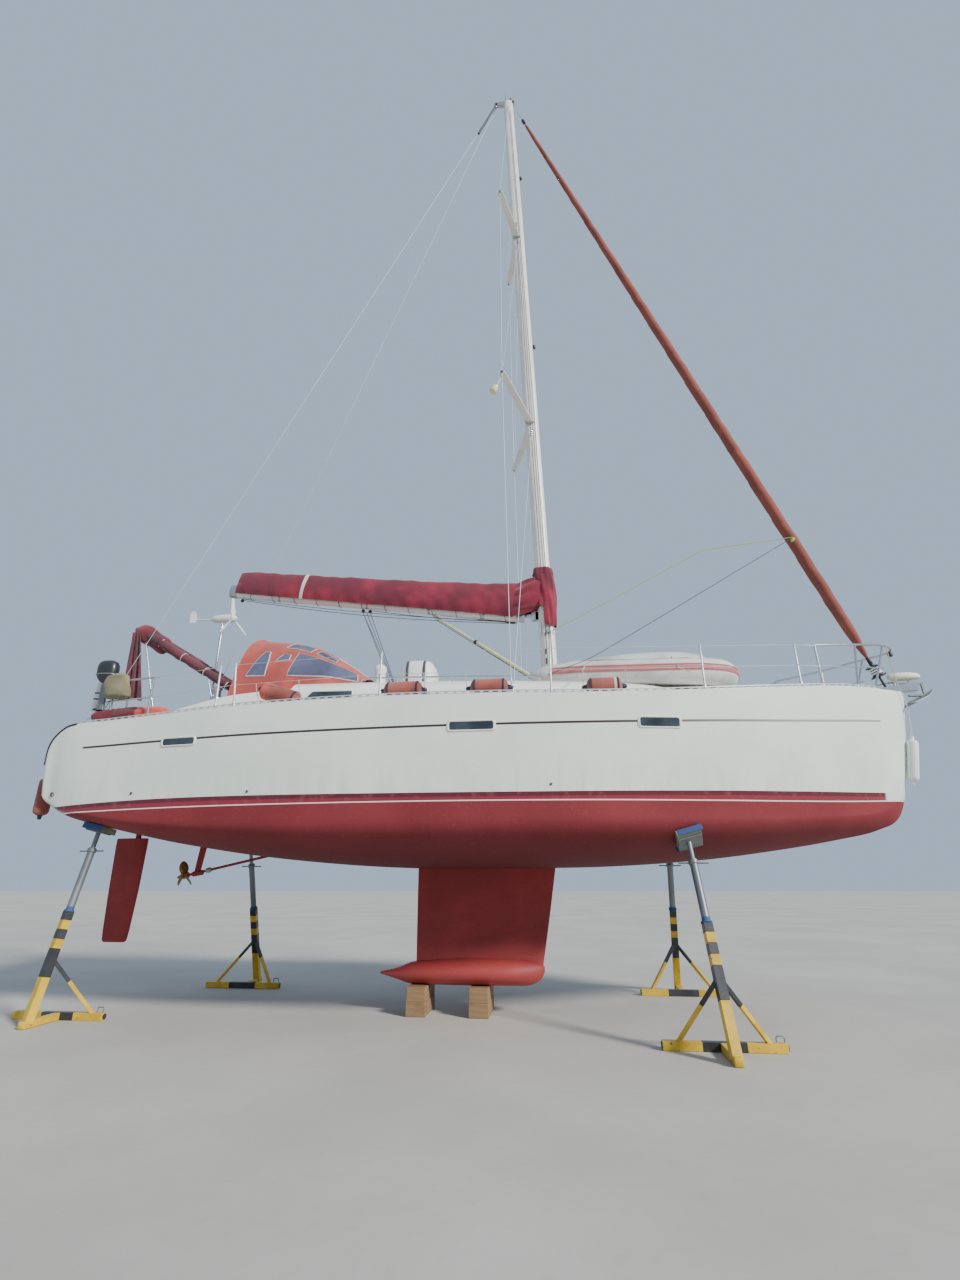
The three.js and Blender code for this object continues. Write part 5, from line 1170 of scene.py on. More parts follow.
FRONT = slice(12, 49)  # the part of a ring in front of the mast, which alone goes below the cover
collar = Form().loft([collar_ring(h) for h in spread(3.38, 4.08, 28)], ends=False, closed=False)
collar.loft([collar_ring(h)[FRONT] for h in spread(3.05, 3.38, 12)], ends=False, closed=False)
wrap = thickened(collar.piece("mast_collar_canvas", burgundy, "red_canvas", "mast_collar", None), .004)
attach(wrap, "root")
# The cover's fore end runs on to the mast in loose gathers.
apron, rings = Form(), []
near = cover_ring(.37)
for t in spread(0, 1, 16):
    ring = []
    for n in range(49):
        turn = pi * (n / 48 * 2 - 1)
        rise = .5 + .5 * cos(turn)
        fore = at(.8 + .05 * rise, -.15 * sin(turn), 3.36 + (.62 - .02 * cos(turn)) * rise)
        spot = near[round(n / 48 * (len(near) - 1))].lerp(fore, t)
        swell = sin(pi * t)
        fold = .014 * swell * sin(9 * turn + 4 * t)
        ring.append(spot + Vector((0, copysign(1, spot.y) * (.03 * swell + fold), fold * .6)))
    rings.append(ring)
apron.loft(rings, ends=False, closed=False)
gathers = thickened(apron.piece("mainsail_cover_gathers", burgundy, "red_canvas", body=None), .004)
at(.8, 0, 3.6)
at(.4, 0, 3.6)
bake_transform(gathers)
ties = Form()
for h, size in ((3.42, .058), (3.98, .045)):
    ties.tube([at(mast_x(h) + (.125 + size) * cos(turn), (.08 + size) * sin(turn), h) for turn in turns(40)],
        .005, 6, closed=True)
for k in range(4):
    x = mast_x(3.05) + .1 - .06 * k
    ties.tube([at(x, -.115, 3.1), at(x + .01, -.118, 2.96), at(x - .01, -.112, 2.86)], .004, 6, bend=.03)
ties.piece("mast_collar_ties", line_dark, "wire")


# Running rigging: halyards down the mast's sides to its foot and aft to the coachroof, and the
# mainsheet's tackle from the boom to the traveller's track.
halyards = Form()
for side, x, top in ((-1, .055, 15.9), (-1, -.02, 12.2), (1, .055, 15.9), (1, -.02, 12.2)):
    halyards.tube([at(mast_x(top) + x * .6, side * .086, top), at(mast_x(8.) + x, side * .105, 8.),
        at(mast_x(2.2) + x, side * .098, 2.2), at(mast_x(2.) + x - .03, side * .16, 1.99)], .0055, 8,
        bend=.03)
for side in (-1, 1):
    for k, y in enumerate((.16, .21, .26)):
        halyards.tube([at(.86, side * y * .9, 1.985), at(.45, side * (y + .1), 1.98),
            at(-.75, side * (y + .3), roof_height(-.75, y + .3) + .03), at(-1.78, side * (y + .34),
            roof_height(-1.78, y + .34) + .03)], .0055, 8, k % 2, .1)
halyards.piece("halyards", [line_dark, line_green], "wire")
blocks, clutch_h = Form(), roof_height(-1.8, .56)
for side in (-1, 1):
    for y in (.15, .2, .25):
        blocks.turned(at(.88, side * y, 1.955), UP, [(0, .03), (.006, .034), (.012, .026), (.026, .026),
            (.032, .034), (.038, .03)], 20)
    blocks.block(at(-1.9, side * .56 - .07, clutch_h - .01), at(-1.68, side * .56 + .07, clutch_h + .035),
        .008)
    for y in (.51, .56, .61):
        blocks.bar(at(-1.88, side * y, clutch_h + .045), at(-1.74, side * y, clutch_h + .075), .024, .018,
            .006)
blocks.piece("halyard_blocks_and_clutches", black, "black_plastic")
track, track_h = Form(), roof_height(-1.5, .3)
track.bar(at(-1.5, -.62, track_h + .03), at(-1.5, .62, track_h + .03), .04, .03, .004)
for y in (-.5, 0, .5):
    track.block(at(-1.53, y - .03, roof_height(-1.5, y) - .01), at(-1.47, y + .03, track_h + .02), .004)
track.block(at(-1.56, -.1, track_h + .045), at(-1.44, .1, track_h + .075), .006, 1)
track.piece("mainsheet_traveller", [alloy, black], "black_plastic")
tackle = Form()
for y, x in ((-.05, -2.12), (0., -2.06), (.05, -2.)):
    tackle.tube([boom_at(x, y * .5, -.17), at(-1.5, y, track_h + .11)], .0055, 8)
tackle.tube([boom_at(-2.12, -.03, -.17), at(-1.52, -.35, 2.12), at(-1.8, -.56, clutch_h + .06)], .0055, 8,
    bend=.04)
tackle.turned(at(-1.5, -.05, 2.1), ACROSS, [(0, .02), (.005, .03), (.095, .03), (.1, .02)], 20, 1)
tackle.piece("mainsheet", [line_dark, black], "wire")


# Steering: a moulded pedestal with a compass and a guard tube, and a five-spoked stainless wheel
# on its shaft, its rim stitched in leather.
moulded = worn("moulded_white", "e4e4de", .35, patch=.05, grain=60)
pedestal = Form().turned(at(-4.33, 0, .735), UP, [(0, .098), (.02, .095), (.35, .084), (.76, .075)], 30)
pedestal.loft([eased([at(x, y * w, h) for x, y in ((-4.405, -.11), (-4.22, -.11), (-4.22, .11),
    (-4.405, .11))], .035, True) for h, w in ((1.44, .9), (1.455, 1.), (1.62, 1.), (1.64, .92))])
pedestal.turned(at(-4.31, 0, 1.63), UP, [(0, .07), (.02, .07), (.045, .055), (.065, .03), (.07, .01)], 26, 1)
pedestal.tube([at(-4.27, y, h) for y, h in ((-.23, .74), (-.23, 1.78), (.23, 1.78), (.23, .74))], .0148, 12,
    2, .09)
pedestal.bar(at(-4.27, -.23, 1.5), at(-4.27, .23, 1.5), .03, .016, .004, 2)
pedestal.bar(at(-4.225, .115, 1.56), at(-4.18, .135, 1.66), .012, .02, .004, 1)
pedestal.piece("steering_pedestal_moulding", [moulded, black, steel], "white_plastic", "steering_pedestal")
AHEAD = (1, 0, 0)
wheel, hub, RIM = Form(), at(-4.47, 0, 1.56), .48


def on_wheel(turn, radius, ahead=0.):
    return hub + Vector((ahead, radius * cos(turn), radius * sin(turn)))


wheel.tube([on_wheel(a, RIM) for a in turns(72)], .0135, 12, closed=True)
for spoke in turns(5):
    turn = pi / 2 + spoke
    wheel.tube([on_wheel(turn, .025), on_wheel(turn, .25, -.012), on_wheel(turn, .475)], [.0095, .008, .0085],
        10)
    wheel.tube([on_wheel(a, RIM) for a in spread(turn + .24, turn + 1, 12)], .0165, 12, 1)
wheel.turned(at(-4.495, 0, 1.56), AHEAD, [(0, .02), (.006, .036), (.03, .04), (.06, .038), (.0895, .034)], 26)
wheel.turned(at(-4.4985, 0, 1.56), AHEAD, [(0, .014), (.0036, .022), (.006, .022)], 20, 1)
wheel.piece("steering_wheel_rim_and_spokes", [steel, black], "stainless", "steering_wheel", "steering_wheel")


# Sheet winches: chromed drums on the coamings, with a knurled waist, a self-tailing crown and the
# square socket for a handle.
chrome = worn("chromed", "c4c8ca", .16, .95, patch=.04, grain=130, depth=.0002)
for name, side in SIDES:
    seat = at(WINCH_X, side * WINCH_Y, WINCH_SEAT)
    winch = Form().turned(seat, UP, [(0, .083), (.008, .085), (.055, .085), (.062, .08), (.075, .066),
        (.11, .055), (.158, .055), (.172, .062), (.188, .071), (.192, .071)], 40)
    winch.turned(seat + upward(.19), UP, [(0, .06), (.004, .071), (.012, .072), (.017, .06), (.021, .045)],
        40, 1)
    winch.turned(seat + upward(.205), UP, [(0, .04), (.008, .032), (.01, .016), (.0101, .012), (.002, .01)],
        28)
    for a in turns(12):
        winch.tube([seat + Vector((reach * cos(a), reach * sin(a), rise))
            for reach, rise in ((.0665, .078), (.0555, .11), (.0555, .15))], .0022, 6)
    winch.piece(f"sheet_winch_{name}", [chrome, black], "stainless", f"winch_{name}", f"winch_{name}")


# Sprayhood: acrylic canvas sewn over three stainless bows, with clear vinyl windows in its front,
# top and sides that are bound in the same canvas. It is laced down to the coachroof.
coral = woven("coral_canvas", "c4574c", "a5463f", 5.)
binding = woven("canvas_binding", "d8cfc4", "bfb4a8", 8.)
vinyl = worn("clear_vinyl", "585b74", .18, patch=.25, grain=9, depth=.003, Coat_Weight=.5)
# from aft to fore: place of the foot and of the top, height of the two, half width
HOOD_ROWS = [(-3.74, -3.52, 1.755, 2.88, 1.09), (-3., -2.7, 1.795, 2.74, 1.09),
    (-2.35, -2.13, 1.88, 2.41, 1.07), (-1.78, -1.7, 1.9, 2.09, .98)]
hood_curves = [curve_through([(k, *row) for k, row in enumerate(HOOD_ROWS)], column)
    for column in range(1, 6)]
# share of the half width, share of the height
ARCH = [(1, 0), (.975, .43), (.87, .78), (.6, .955), (.25, 1)]
arch_line = eased([(w, t, 0) for w, t in ARCH] + [(-w, t, 0) for w, t in ARCH[::-1]], .16, steps=3)


def hood_at(along, across, out=0.):
    """A point of the hood: along its rows from 0 aft to 3 fore, across its arch from 0 to 1."""
    foot_x, top_x, foot_h, top_h, half = (curve(along) for curve in hood_curves)
    sag = 1 - .022 * sin(pi * (along % 1))
    place = across * (len(arch_line) - 1)
    k = min(int(place), len(arch_line) - 2)
    p = arch_line[k].lerp(arch_line[k + 1], place - k)
    return at(foot_x + (top_x - foot_x) * p.y, half * p.x * sag + out * p.x,
        foot_h + (top_h - foot_h) * p.y * (.985 + .015 * sag) + out * p.y)


hood = Form().loft([[hood_at(3 * k / 60, n / 56, -.012) for n in range(57)] for k in range(61)], ends=False,
    closed=False)
hood_cloth = thickened(hood.piece("sprayhood_canvas", coral, "red_canvas", "sprayhood", None), .004)
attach(hood_cloth, "root")
panes, seams = Form(), Form()
# each pane: four corners of how far along the hood and how far across its starboard half
SIDE_PANES = [((.2, .96), (.57, .96), (.46, .83), (.36, .83)), ((.66, .895), (.92, .885), (.9, .84),
    (.74, .84)), ((.7, .8), (1.24, .8), (1.24, .71), (.74, .71)), ((1.38, .8), (1.95, .8), (1.85, .72),
    (1.38, .71)), ((1.04, .962), (2.86, .962), (2.7, .825), (1.04, .825))]
PANES = SIDE_PANES + [tuple((a, 1 - c) for a, c in pane) for pane in SIDE_PANES]
PANES += [((1.75, .52), (2.78, .52), (2.78, .68), (1.75, .68)), ((1.75, .32), (2.78, .32), (2.78, .48),
    (1.75, .48))]
for corners in PANES:
    def pane_at(u, v):
        low, high = ([a + (b - a) * u for a, b in zip(corners[k], corners[m])] for k, m in ((0, 1), (3, 2)))
        return hood_at(*(a + (b - a) * v for a, b in zip(low, high)), -.004)
    panes.loft([[pane_at(i / 12, j / 10) for j in range(11)] for i in range(13)], ends=False, closed=False)
    rim = [(i / 12, 0) for i in range(12)] + [(1, j / 10) for j in range(10)]
    rim += [(1 - i / 12, 1) for i in range(12)] + [(0, 1 - j / 10) for j in range(10)]
    seams.tube([pane_at(u, v) for u, v in rim], .009, 8, closed=True, flat=.45)
panes_made = thickened(panes.piece("sprayhood_windows", vinyl, "smoked_acrylic", body=None), .002)
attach(panes_made, "root")
seams.piece("sprayhood_window_binding", binding, "red_canvas")
bows = Form()
for along in (.03, 1., 2.):
    bows.tube([hood_at(along, n / 40, -.034) for n in range(41)], .0125, 10)
bows.piece("sprayhood_bows", steel, "stainless")
edging = Form()
for along, size in ((0, .013), (3, .01)):
    edging.tube([hood_at(along, n / 48, -.008) for n in range(49)], size, 8)
edging.piece("sprayhood_edging", coral, "red_canvas")


# Bimini: a folding awning rolled on its two bows and tied in a canvas boot, with short struts that
# stand on the quarter rails. The whole swings up about the pins at the coamings.
maroon = woven("maroon_canvas", "6a2c38", "472029", 7.)
burgundy_red = woven("bright_red_canvas", "7a212c", "5f1923", 7.)
pivot, along = at(-3.62, 0, 1.86), Vector((-1.81, 0, 1.11))
square = Vector((along.z, 0, -along.x)).normalized()


def bundle_path(share, across):
    """A point of the folded bows: its share of the way up them, and of their half width."""
    p = pivot + along * share
    return Vector((p.x, BIMINI_HALF * across, p.z))


bundle = Form()
for side in (-1, 1):
    bundle.tube([bundle_path(0, side), bundle_path(.12, side)], .0135, 12, 1)
    bundle.turned(bundle_path(0, side) - Vector((0, side * .01, 0)), (0, side, 0),
        [(0, .014), (.004, .02), (.016, .02), (.02, .014)], 16, 1)
LEG = (.08, .1, .3, .5, .7, .85)
rolled = [bundle_path(share, -1) for share in LEG] + [bundle_path(.97, -.93)]
rolled += [bundle_path(1, across) for across in spread(-.8, .8, 10)]
rolled += [bundle_path(.97, .93)] + [bundle_path(share, 1) for share in LEG[::-1]]
fine = eased(rolled, .1, steps=3)
dense = [a.lerp(b, n / 3) for a, b in zip(fine, fine[1:]) for n in range(3)] + [fine[-1]]
sizes = []
for i, p in enumerate(dense):
    share, from_end = (p - pivot).dot(along) / along.length_squared, min(i, len(dense) - 1 - i)
    swell = .058 + .022 * min(1, max(0, share / .9))
    tied = min(1, *(abs((share - tie) / .018) for tie in (.12, .33, .55, .77, .93)))
    ruck = .004 * sin(31 * share + 2) + .004 * sin(57 * share)
    sizes.append((swell + ruck) * (.86 + .14 * tied) if from_end > 4 else swell * (.25 + .18 * from_end))
bundle.tube(dense, sizes, 20)
awning = bundle.piece("bimini_roll", [maroon, steel], "red_canvas", "bimini", "bimini", 50)
struts = Form()
for side in (-1, 1):
    joint = bundle_path(.955, side)
    struts.tube([joint, at(-4.93, side * BIMINI_HALF, 1.53)], .0125, 12)
    struts.turned(joint - Vector((0, side * .02, 0)), (0, side, 0), [(0, .012), (.005, .018), (.035, .018),
        (.04, .012)], 14)
struts.piece("bimini_struts", steel, "stainless", body="bimini")
knots = Form()
for share in (.12, .33, .55, .77):
    for side in (-1, 1):
        knots.tube([bundle_path(share, side) + square * .066 * cos(a) * (1 + .1 * share)
            + Vector((0, .064 * sin(a), 0)) for a in turns(20)], .006, 6, closed=True)
knots.piece("bimini_ties", pale_trim, "red_canvas", body="bimini")
boot, rings = Form(), []
for t in spread(0, 1, 30):
    middle = bundle_path(.72 + .34 * t, -1) + Vector((0, .05, -.02))
    size = .078 + .046 * sin(pi * t) ** .8 + .012 * sin(11 * t)
    size *= min(1, .55 + 6 * t, .4 + 5 * (1 - t))
    rings.append([middle + square * size * 1.15 * cos(a) * (1 + .07 * sin(3 * a + 8 * (.72 + .34 * t)))
        + Vector((0, size * .8 * sin(a) * (1 + .06 * sin(4 * a)), 0)) for a in turns(30)])
boot.loft(rings)
boot_made = boot.piece("bimini_boot", burgundy_red, "red_canvas", body="bimini")
hanging, rows = Form(), []
for drop in spread(0, 1, 14):
    rows.append([at(-5.54 + (.15 + .2 * drop) * n / 12 + .01 * drop + .018 * sin(1.9 * n + 2. * drop),
        -.95 + .03 * sin(1.6 * n + drop), 2.93 - 1.1 * drop - .02 * sin(.7 * n)) for n in range(13)])
hanging.loft(rows, ends=False, closed=False)
flap = thickened(hanging.piece("bimini_flap", maroon, "red_canvas", body=None), .003)
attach(flap, "bimini")


# Soft gear on the quarter: a rolled red awning along the side deck and a khaki bag tied to the
# starboard rail.
bright_coral = woven("bright_coral", "d2553f", "b9453a", 6.)
khaki = woven("khaki_canvas", "8d8667", "6f6a50", 9.)
gear_roll, rings = Form(), []
for t in spread(0, 1, 60):
    x = -5.58 + 1.1 * t
    r = .105 * min(1, (.35 + 9 * t) ** .5, (.35 + 9 * (1 - t)) ** .5)
    r *= 1 - .16 * exp(-((t - .3) / .015) ** 2) - .16 * exp(-((t - .72) / .015) ** 2)
    ring = []
    for a in turns(28):
        size = r * (1 + .05 * sin(5 * a + 9 * t) + .03 * sin(23 * t + a))
        ring.append(at(x, -1.335 + .05 * t + size * cos(a) * .9, deck_h(x) + .125 + .01 * sin(4 * t) + size
            * sin(a)))
    rings.append(ring)
gear_roll.loft(rings[:37]).loft(rings[36:], 1)
rolled = gear_roll.piece("rolled_awning", [burgundy_red, bright_coral], "red_canvas")


def box_ring(x, y, h, long, wide, powers=(.75, .8), count=36):
    """A level ring between an ellipse and a rectangle: the lower the powers, the squarer it is."""
    def pushed(value, power):
        return copysign(abs(value) ** power, value)
    return [at(x + long * pushed(cos(a), powers[0]), y + wide * pushed(sin(a), powers[1]), h)
        for a in turns(count)]


khaki_bag, rings = Form(), []
for t in spread(0, 1, 24):
    wide = .2 * (1 - .35 * t ** 3) * min(1, .55 + 5 * t, .45 + 5 * (1 - t))
    deep = .075 * min(1, .5 + 5 * t, .4 + 5 * (1 - t))
    ring = box_ring(-5.22 + .01 * sin(7 * t), -1.455, 1.7 + .38 * t, wide, deep, (.7, .8), 32)
    rings.append([p + Vector((0, .012 * sin(6 * t + 2 * a), 0)) for p, a in zip(ring, turns(32))])
khaki_bag.loft(rings)
bag = khaki_bag.piece("rail_bag", khaki, "red_canvas")
bag_ties = Form()
for x in (-5.36, -5.08):
    bag_ties.tube([at(x, y, h) for y, h in ((-1.5, 1.93), (-1.46, 2.02), (-1.41, 2.), (-1.42, 1.9))], .006, 6,
        bend=.03, closed=True)
bag_ties.piece("rail_bag_straps", line_dark, "wire")


# Tender: an inflatable lashed bottom up on the coachroof, with grey fabric tubes, a rubbing
# strake, a ribbed bottom and a board for its transom.
hypalon = Finish("dinghy_fabric", "b9bab6", .55)
hyp_broad, hyp_fine = hypalon.noise(2.2, 5), hypalon.noise(60, 3)
hypalon.put("Base Color", hypalon.mix(hyp_broad.step(.4, .7), "d3d3ce", "b7b6b0"))
hypalon.relief(hyp_broad * .6 + hyp_fine * .1, .006, .35)
strake = worn("strake", "b8686a", .7, patch=.15, grain=60)
# place and half width of the tubes' line, its height, the tubes' radius
TENDER_ROWS = [(.64, .54, 2.085, .045), (.85, .54, 2.085, .13), (1.15, .54, 2.085, .17),
    (1.4, .54, 2.085, .19), (2.6, .54, 2.07, .19), (3.08, .47, 2.075, .195), (3.4, .26, 2.095, .2),
    (3.5, 0, 2.1, .2)]
line = [Vector((x, -y, h)) for x, y, h, r in TENDER_ROWS]
line += [Vector((p.x, -p.y, p.z)) for p in line[-2::-1]]
row_radii = [row[3] for row in TENDER_ROWS]
row_radii += row_radii[-2::-1]
tender, points, radii = Form(), [], []
for i in range(len(line) - 1):
    p0, p1, p2, p3 = (line[min(max(i + d, 0), len(line) - 1)] for d in (-1, 0, 1, 2))
    for n in range(6):
        t = n / 6
        spot = .5 * ((2 * p1) + (p2 - p0) * t + (2 * p0 - 5 * p1 + 4 * p2 - p3) * t * t
            + (3 * p1 - p0 - 3 * p2 + p3) * t**3)
        points.append(at(*spot))
        radii.append(row_radii[i] + (row_radii[i + 1] - row_radii[i]) * t)
points.append(at(*line[-1]))
radii.append(row_radii[-1])
tender.tube(points, radii, 28)
outer, upper, around = Form(), Form(), []
for i in range(8, len(points) - 8):
    heading = (points[i + 1] - points[i - 1]).normalized()
    around.append((points[i], heading.cross(Vector((0, 0, 1))).normalized(), radii[i]))
for drop, wide in ((-.005, .034), (.05, .01)):
    outer.tube([p + out * (r + .002) + upward(drop) for p, out, r in around], wide, 8, flat=.35)
for p, out, r in around[3:-2:8]:
    upper.turned(p + out * r * .45 + upward(r * .885), out * .45 + upward(.885),
        [(0, .036), (.003, .036), (.006, .02), (.008, .006)], 16)
grab = [p + out * r * .52 + upward(r * .87) for p, out, r in around[3::8]]
for a, b in zip(grab, grab[1:]):
    middle = a.lerp(b, .5)
    upper.tube([a, middle - upward(.012) + (middle - at(2., 0, 2.07)).normalized() * .012, b], .006, 6, 1)
tender.piece("tender_tubes", hypalon, "dinghy_fabric", "dinghy")
outer.piece("tender_strake", strake, "red_canvas")
upper.piece("tender_grab_line", [hypalon, line_dark], "dinghy_fabric")
# x, half width, height at the tubes, height of the ridge
BOTTOM_ROWS = [(1.15, .52, 2.15, 2.33), (1.9, .52, 2.17, 2.45), (2.7, .5, 2.16, 2.48), (3.2, .33, 2.16, 2.43),
    (3.45, .09, 2.15, 2.31)]
bottom_half, bottom_low, bottom_ridge = (curve_through(BOTTOM_ROWS, k) for k in (1, 2, 3))
bottom_rings = []
for k in range(37):
    x = 1.15 + 2.3 * k / 36
    half, low, ridge = bottom_half(x), bottom_low(x), bottom_ridge(x)
    over = [at(x, half * cos(a), low + (ridge - low) * sin(a) ** .85) for a in (pi * n / 24
        for n in range(25))]
    bottom_rings.append(over + [p - upward(.03 + .06 * (p.z - WATERLINE - low)) for p in over[::-1]])
bottom = Form().loft(bottom_rings)
for y in (-.3, -.15, 0, .15, .3):
    arched = (1 - (y / .52) ** 2) ** .42
    bottom.tube([at(x, y * bottom_half(x) / .52, bottom_low(x) + (bottom_ridge(x) - bottom_low(x)) * arched
        + .002) for x in spread(1.2, 3.2, 20)], .014, 8)
bottom.bar(at(1.16, -.48, 2.09), at(1.16, .48, 2.09), .04, .24, .006, 1)
bottom.piece("tender_bottom_and_transom", [hypalon, plastic], "dinghy_fabric")
lashing = Form()
for half in (((2.75, 1.32, 1.8), (2.72, .78, 2.05), (2.7, .52, 2.272), (2.7, .25, 2.44)),
        ((1.35, 1.52, 1.83), (1.42, .76, 2.1), (1.45, .54, 2.288), (1.45, .25, 2.37))):
    lashing.tube([at(x, -y, h) for x, y, h in half] + [at(x, y, h) for x, y, h in half[::-1]], .007, 8,
        bend=.12)
lashing.piece("tender_lashings", pale_trim, "wire")


# Fenders: air-filled ones in knitted covers, tied along the starboard rail, and one each at the bow
# and the stern.
knit = woven("fender_knit", "a65c4f", "854238", 14.)
navy = worn("navy_end", "272c3e", .6, patch=.15, grain=60)
coral_end = worn("coral_end", "c9604f", .7, patch=.1, grain=60)
# distance from the end and radius, as shares of the radius
ROUND_END = [(0, .25), (.08, .55), (.24, .84), (.48, .97), (.8, 1.)]


def fender(form, start, end, radius, knob=1):
    """A fender from one end to the other with a moulded eye on each."""
    axis = end - start
    rows = [(d * radius, radius * r) for d, r in ROUND_END]
    form.turned(start, axis, rows + [(axis.length - d, r) for d, r in rows[::-1]], 28)
    for base, way in ((start, -axis.normalized()), (end, axis.normalized())):
        form.turned(base - way * .03, way, [(0, radius * .42), (.028, radius * .4), (.036, radius * .3),
            (.07, radius * .26), (.085, radius * .16)], 18, knob)


# aft end, fore end, how far the aft end is tipped up
DECK_FENDERS = ((-2.98, -2.33, .11), (-1.27, -.64, 0), (-.14, .47, 0), (1.33, 1.9, 0))
for k, (aft, fore, tilt) in enumerate(DECK_FENDERS, 1):
    middle = (aft + fore) / 2
    y, h = -(deck_y(middle) - .207), deck_h(middle) + .121
    one = Form()
    start, end = at(aft + .06, y, h + tilt * 1.1), at(fore - .06, y, h - tilt * .55)
    fender(one, start, end, .118)
    for share0, share1 in ((.85, .9),) if k == 1 else ((.1, .15), (.85, .9)):
        a, b = start.lerp(end, share0), start.lerp(end, share1)
        long = (b - a).length
        one.turned(a, b - a, [(0, .117), (.002, .1205), (long - .002, .1205), (long, .117)], 28, 1)
    if k == 1:
        one.turned(start, end - start, [(0, .06), (.01, .09), (.04, .119), (.11, .121), (.112, .117)], 28, 3)
    if k == 4:
        one.turned(start.lerp(end, .76), end - start, [(0, .117), (.002, .1202), (.03, .1202), (.032, .117)],
            28, 2)
    one.piece(f"fender_{k}_knit", [knit, navy, pale_trim, coral_end], "fender_cover", f"fender_{k}")
    tied = Form()
    for x in (aft + .02, fore - .02):
        tied.tube([at(x, y, h), at(x, -(deck_y(x) - .1), h + .06), at(x, -(deck_y(x) - STANCHION_IN),
            deck_h(x) + .305)], .005, 6, bend=.05)
    tied.piece(f"fender_{k}_lanyards", pale_trim, "wire")
bow = Form()
fender(bow, at(5.752, -.079, .52), at(5.865, -.087, 1.08), .073, 0)
bow.tube([at(5.875, -.088, 1.15), at(5.9, -.1, 1.6), at(5.8, -.16, 1.95), at(5.7, -.31, 2.4)], .006, 8, 1,
    .05)
bow.tube([at(5.742, -.078, .46), at(5.76, -.12, .8), at(5.86, -.1, 1.18)], .005, 8, 1, .05)
bow.piece("bow_fender", [plastic, pale_trim], "white_plastic", "fender_bow")
after = Form()
fender(after, at(-6.255, -1.12, .14), at(-6.255, -1.12, .66), .1)
after.tube([at(-6.25, -1.12, .74), at(-6.2, -1.12, 1.15), at(-5.98, -1.13, 1.39), at(-5.66, -1.1, 1.66)],
    .006, 8, 2, .06)
after.piece("stern_fender", [knit, navy, pale_trim], "fender_cover", "fender_stern")


# Outboard motor: a small two-stroke hung on the starboard quarter's rail by its clamp, cowl up.
motor_black = worn("motor_black", "22262a", .35, patch=.2, grain=50, Coat_Weight=.3)
grey_metal = worn("motor_grey", "7b8084", .45, .5, patch=.15, grain=70)
motor = Form()
OX, OY = -5.45, -1.404
# height, half length, half width
COWL = [(1.965, .075, .045), (1.98, .095, .06), (2.03, .135, .085), (2.08, .15, .095), (2.16, .153, .097),
    (2.22, .148, .095), (2.265, .128, .08), (2.288, .09, .055), (2.292, .05, .03)]
motor.loft([box_ring(OX - .02 * (h - 1.98), OY, h, long, wide) for h, long, wide in COWL])
motor.loft([box_ring(OX - .003, OY, h, s * .152, s * .097) for h, s in ((2.068, .99), (2.07, 1.03),
    (2.082, 1.03), (2.084, .99))], 1)
LEG_PLAN = ((-.05, -.028), (.05, -.022), (.05, .022), (-.05, .028))
motor.loft([eased([at(OX + x, OY + y, h) for x, y in LEG_PLAN], .02, True) for h in (1.56, 1.7, 1.985)], 1)
PLATE_PLAN = ((-.09, -.03), (.06, -.02), (.06, .02), (-.09, .03))
motor.loft([eased([at(OX - .02 + x * s, OY + y * s, h) for x, y in PLATE_PLAN], .02, True)
    for h, s in ((1.552, .8), (1.56, 1.), (1.575, 1.), (1.585, .7))], 0)
for x in (-.045, .045):
    motor.block(at(OX + x - .012, OY + .008, 1.935), at(OX + x + .012, OY + .072, 2.018), .005, 1)
motor.tube([at(OX + .12, OY, 2.06), at(OX + .26, OY - .01, 2.06), at(OX + .34, OY - .01, 2.03)],
    [.012, .014, .016], 12)
motor.turned(at(OX, OY + .093, 2.17), ACROSS, [(0, .02), (.01, .02), (.012, .012)], 16, 1)
motor.piece("outboard_motor", [motor_black, grey_metal], "black_plastic", "outboard_engine")


# Life-raft: a moulded canister of two halves strapped to the coachroof, beside a small ventilator.
raft, RAFT_Y = Form(), -.48
# height, half length, half width
RAFT = [(1.85, .255, .29), (1.87, .265, .3), (2.02, .268, .303), (2.024, .275, .31), (2.044, .275, .31),
    (2.048, .268, .303), (2.21, .262, .297), (2.27, .245, .282), (2.32, .212, .255), (2.34, .17, .215)]
raft.loft([box_ring(-1.025, RAFT_Y, h, long, wide, (.55, .55), 48) for h, long, wide in RAFT])
STRAP = [(-.306, 1.86), (-.306, 2.2), (-.262, 2.325), (0, 2.348)]
for x in (-1.15, -.9):
    raft.tube([at(x, RAFT_Y + y, h) for y, h in STRAP + [(-y, h) for y, h in STRAP[-2::-1]]], .02, 8, 1, .05,
        flat=.25)
raft.piece("raft_canister_shell", [plastic, line_dark], "white_plastic", "raft_canister")
vents = Form()
VENT = ((0, .07), (.02, .07), (.025, .05), (.1, .048), (.14, .052), (.17, .06), (.2, .052), (.22, .03))
for x, y, wide, tall in ((-1.55, -.8, 1.6, 1.45), (1.15, .42, 1, 1)):
    vents.turned(at(x, y, roof_height(x, y) - .012), UP, [(tall * z, wide * r) for z, r in VENT], 24)
vents.piece("coachroof_ventilators", plastic, "white_plastic")
roof_winches = Form()
for side in (-1, 1):
    roof_winches.turned(at(-2.05, side * .62, roof_height(-2.05, .7) - .01), UP,
        [(0, .07), (.045, .07), (.06, .05), (.11, .042), (.14, .045), (.155, .055), (.17, .055), (.178, .03)],
        30)
roof_winches.piece("coachroof_winches", chrome, "stainless")


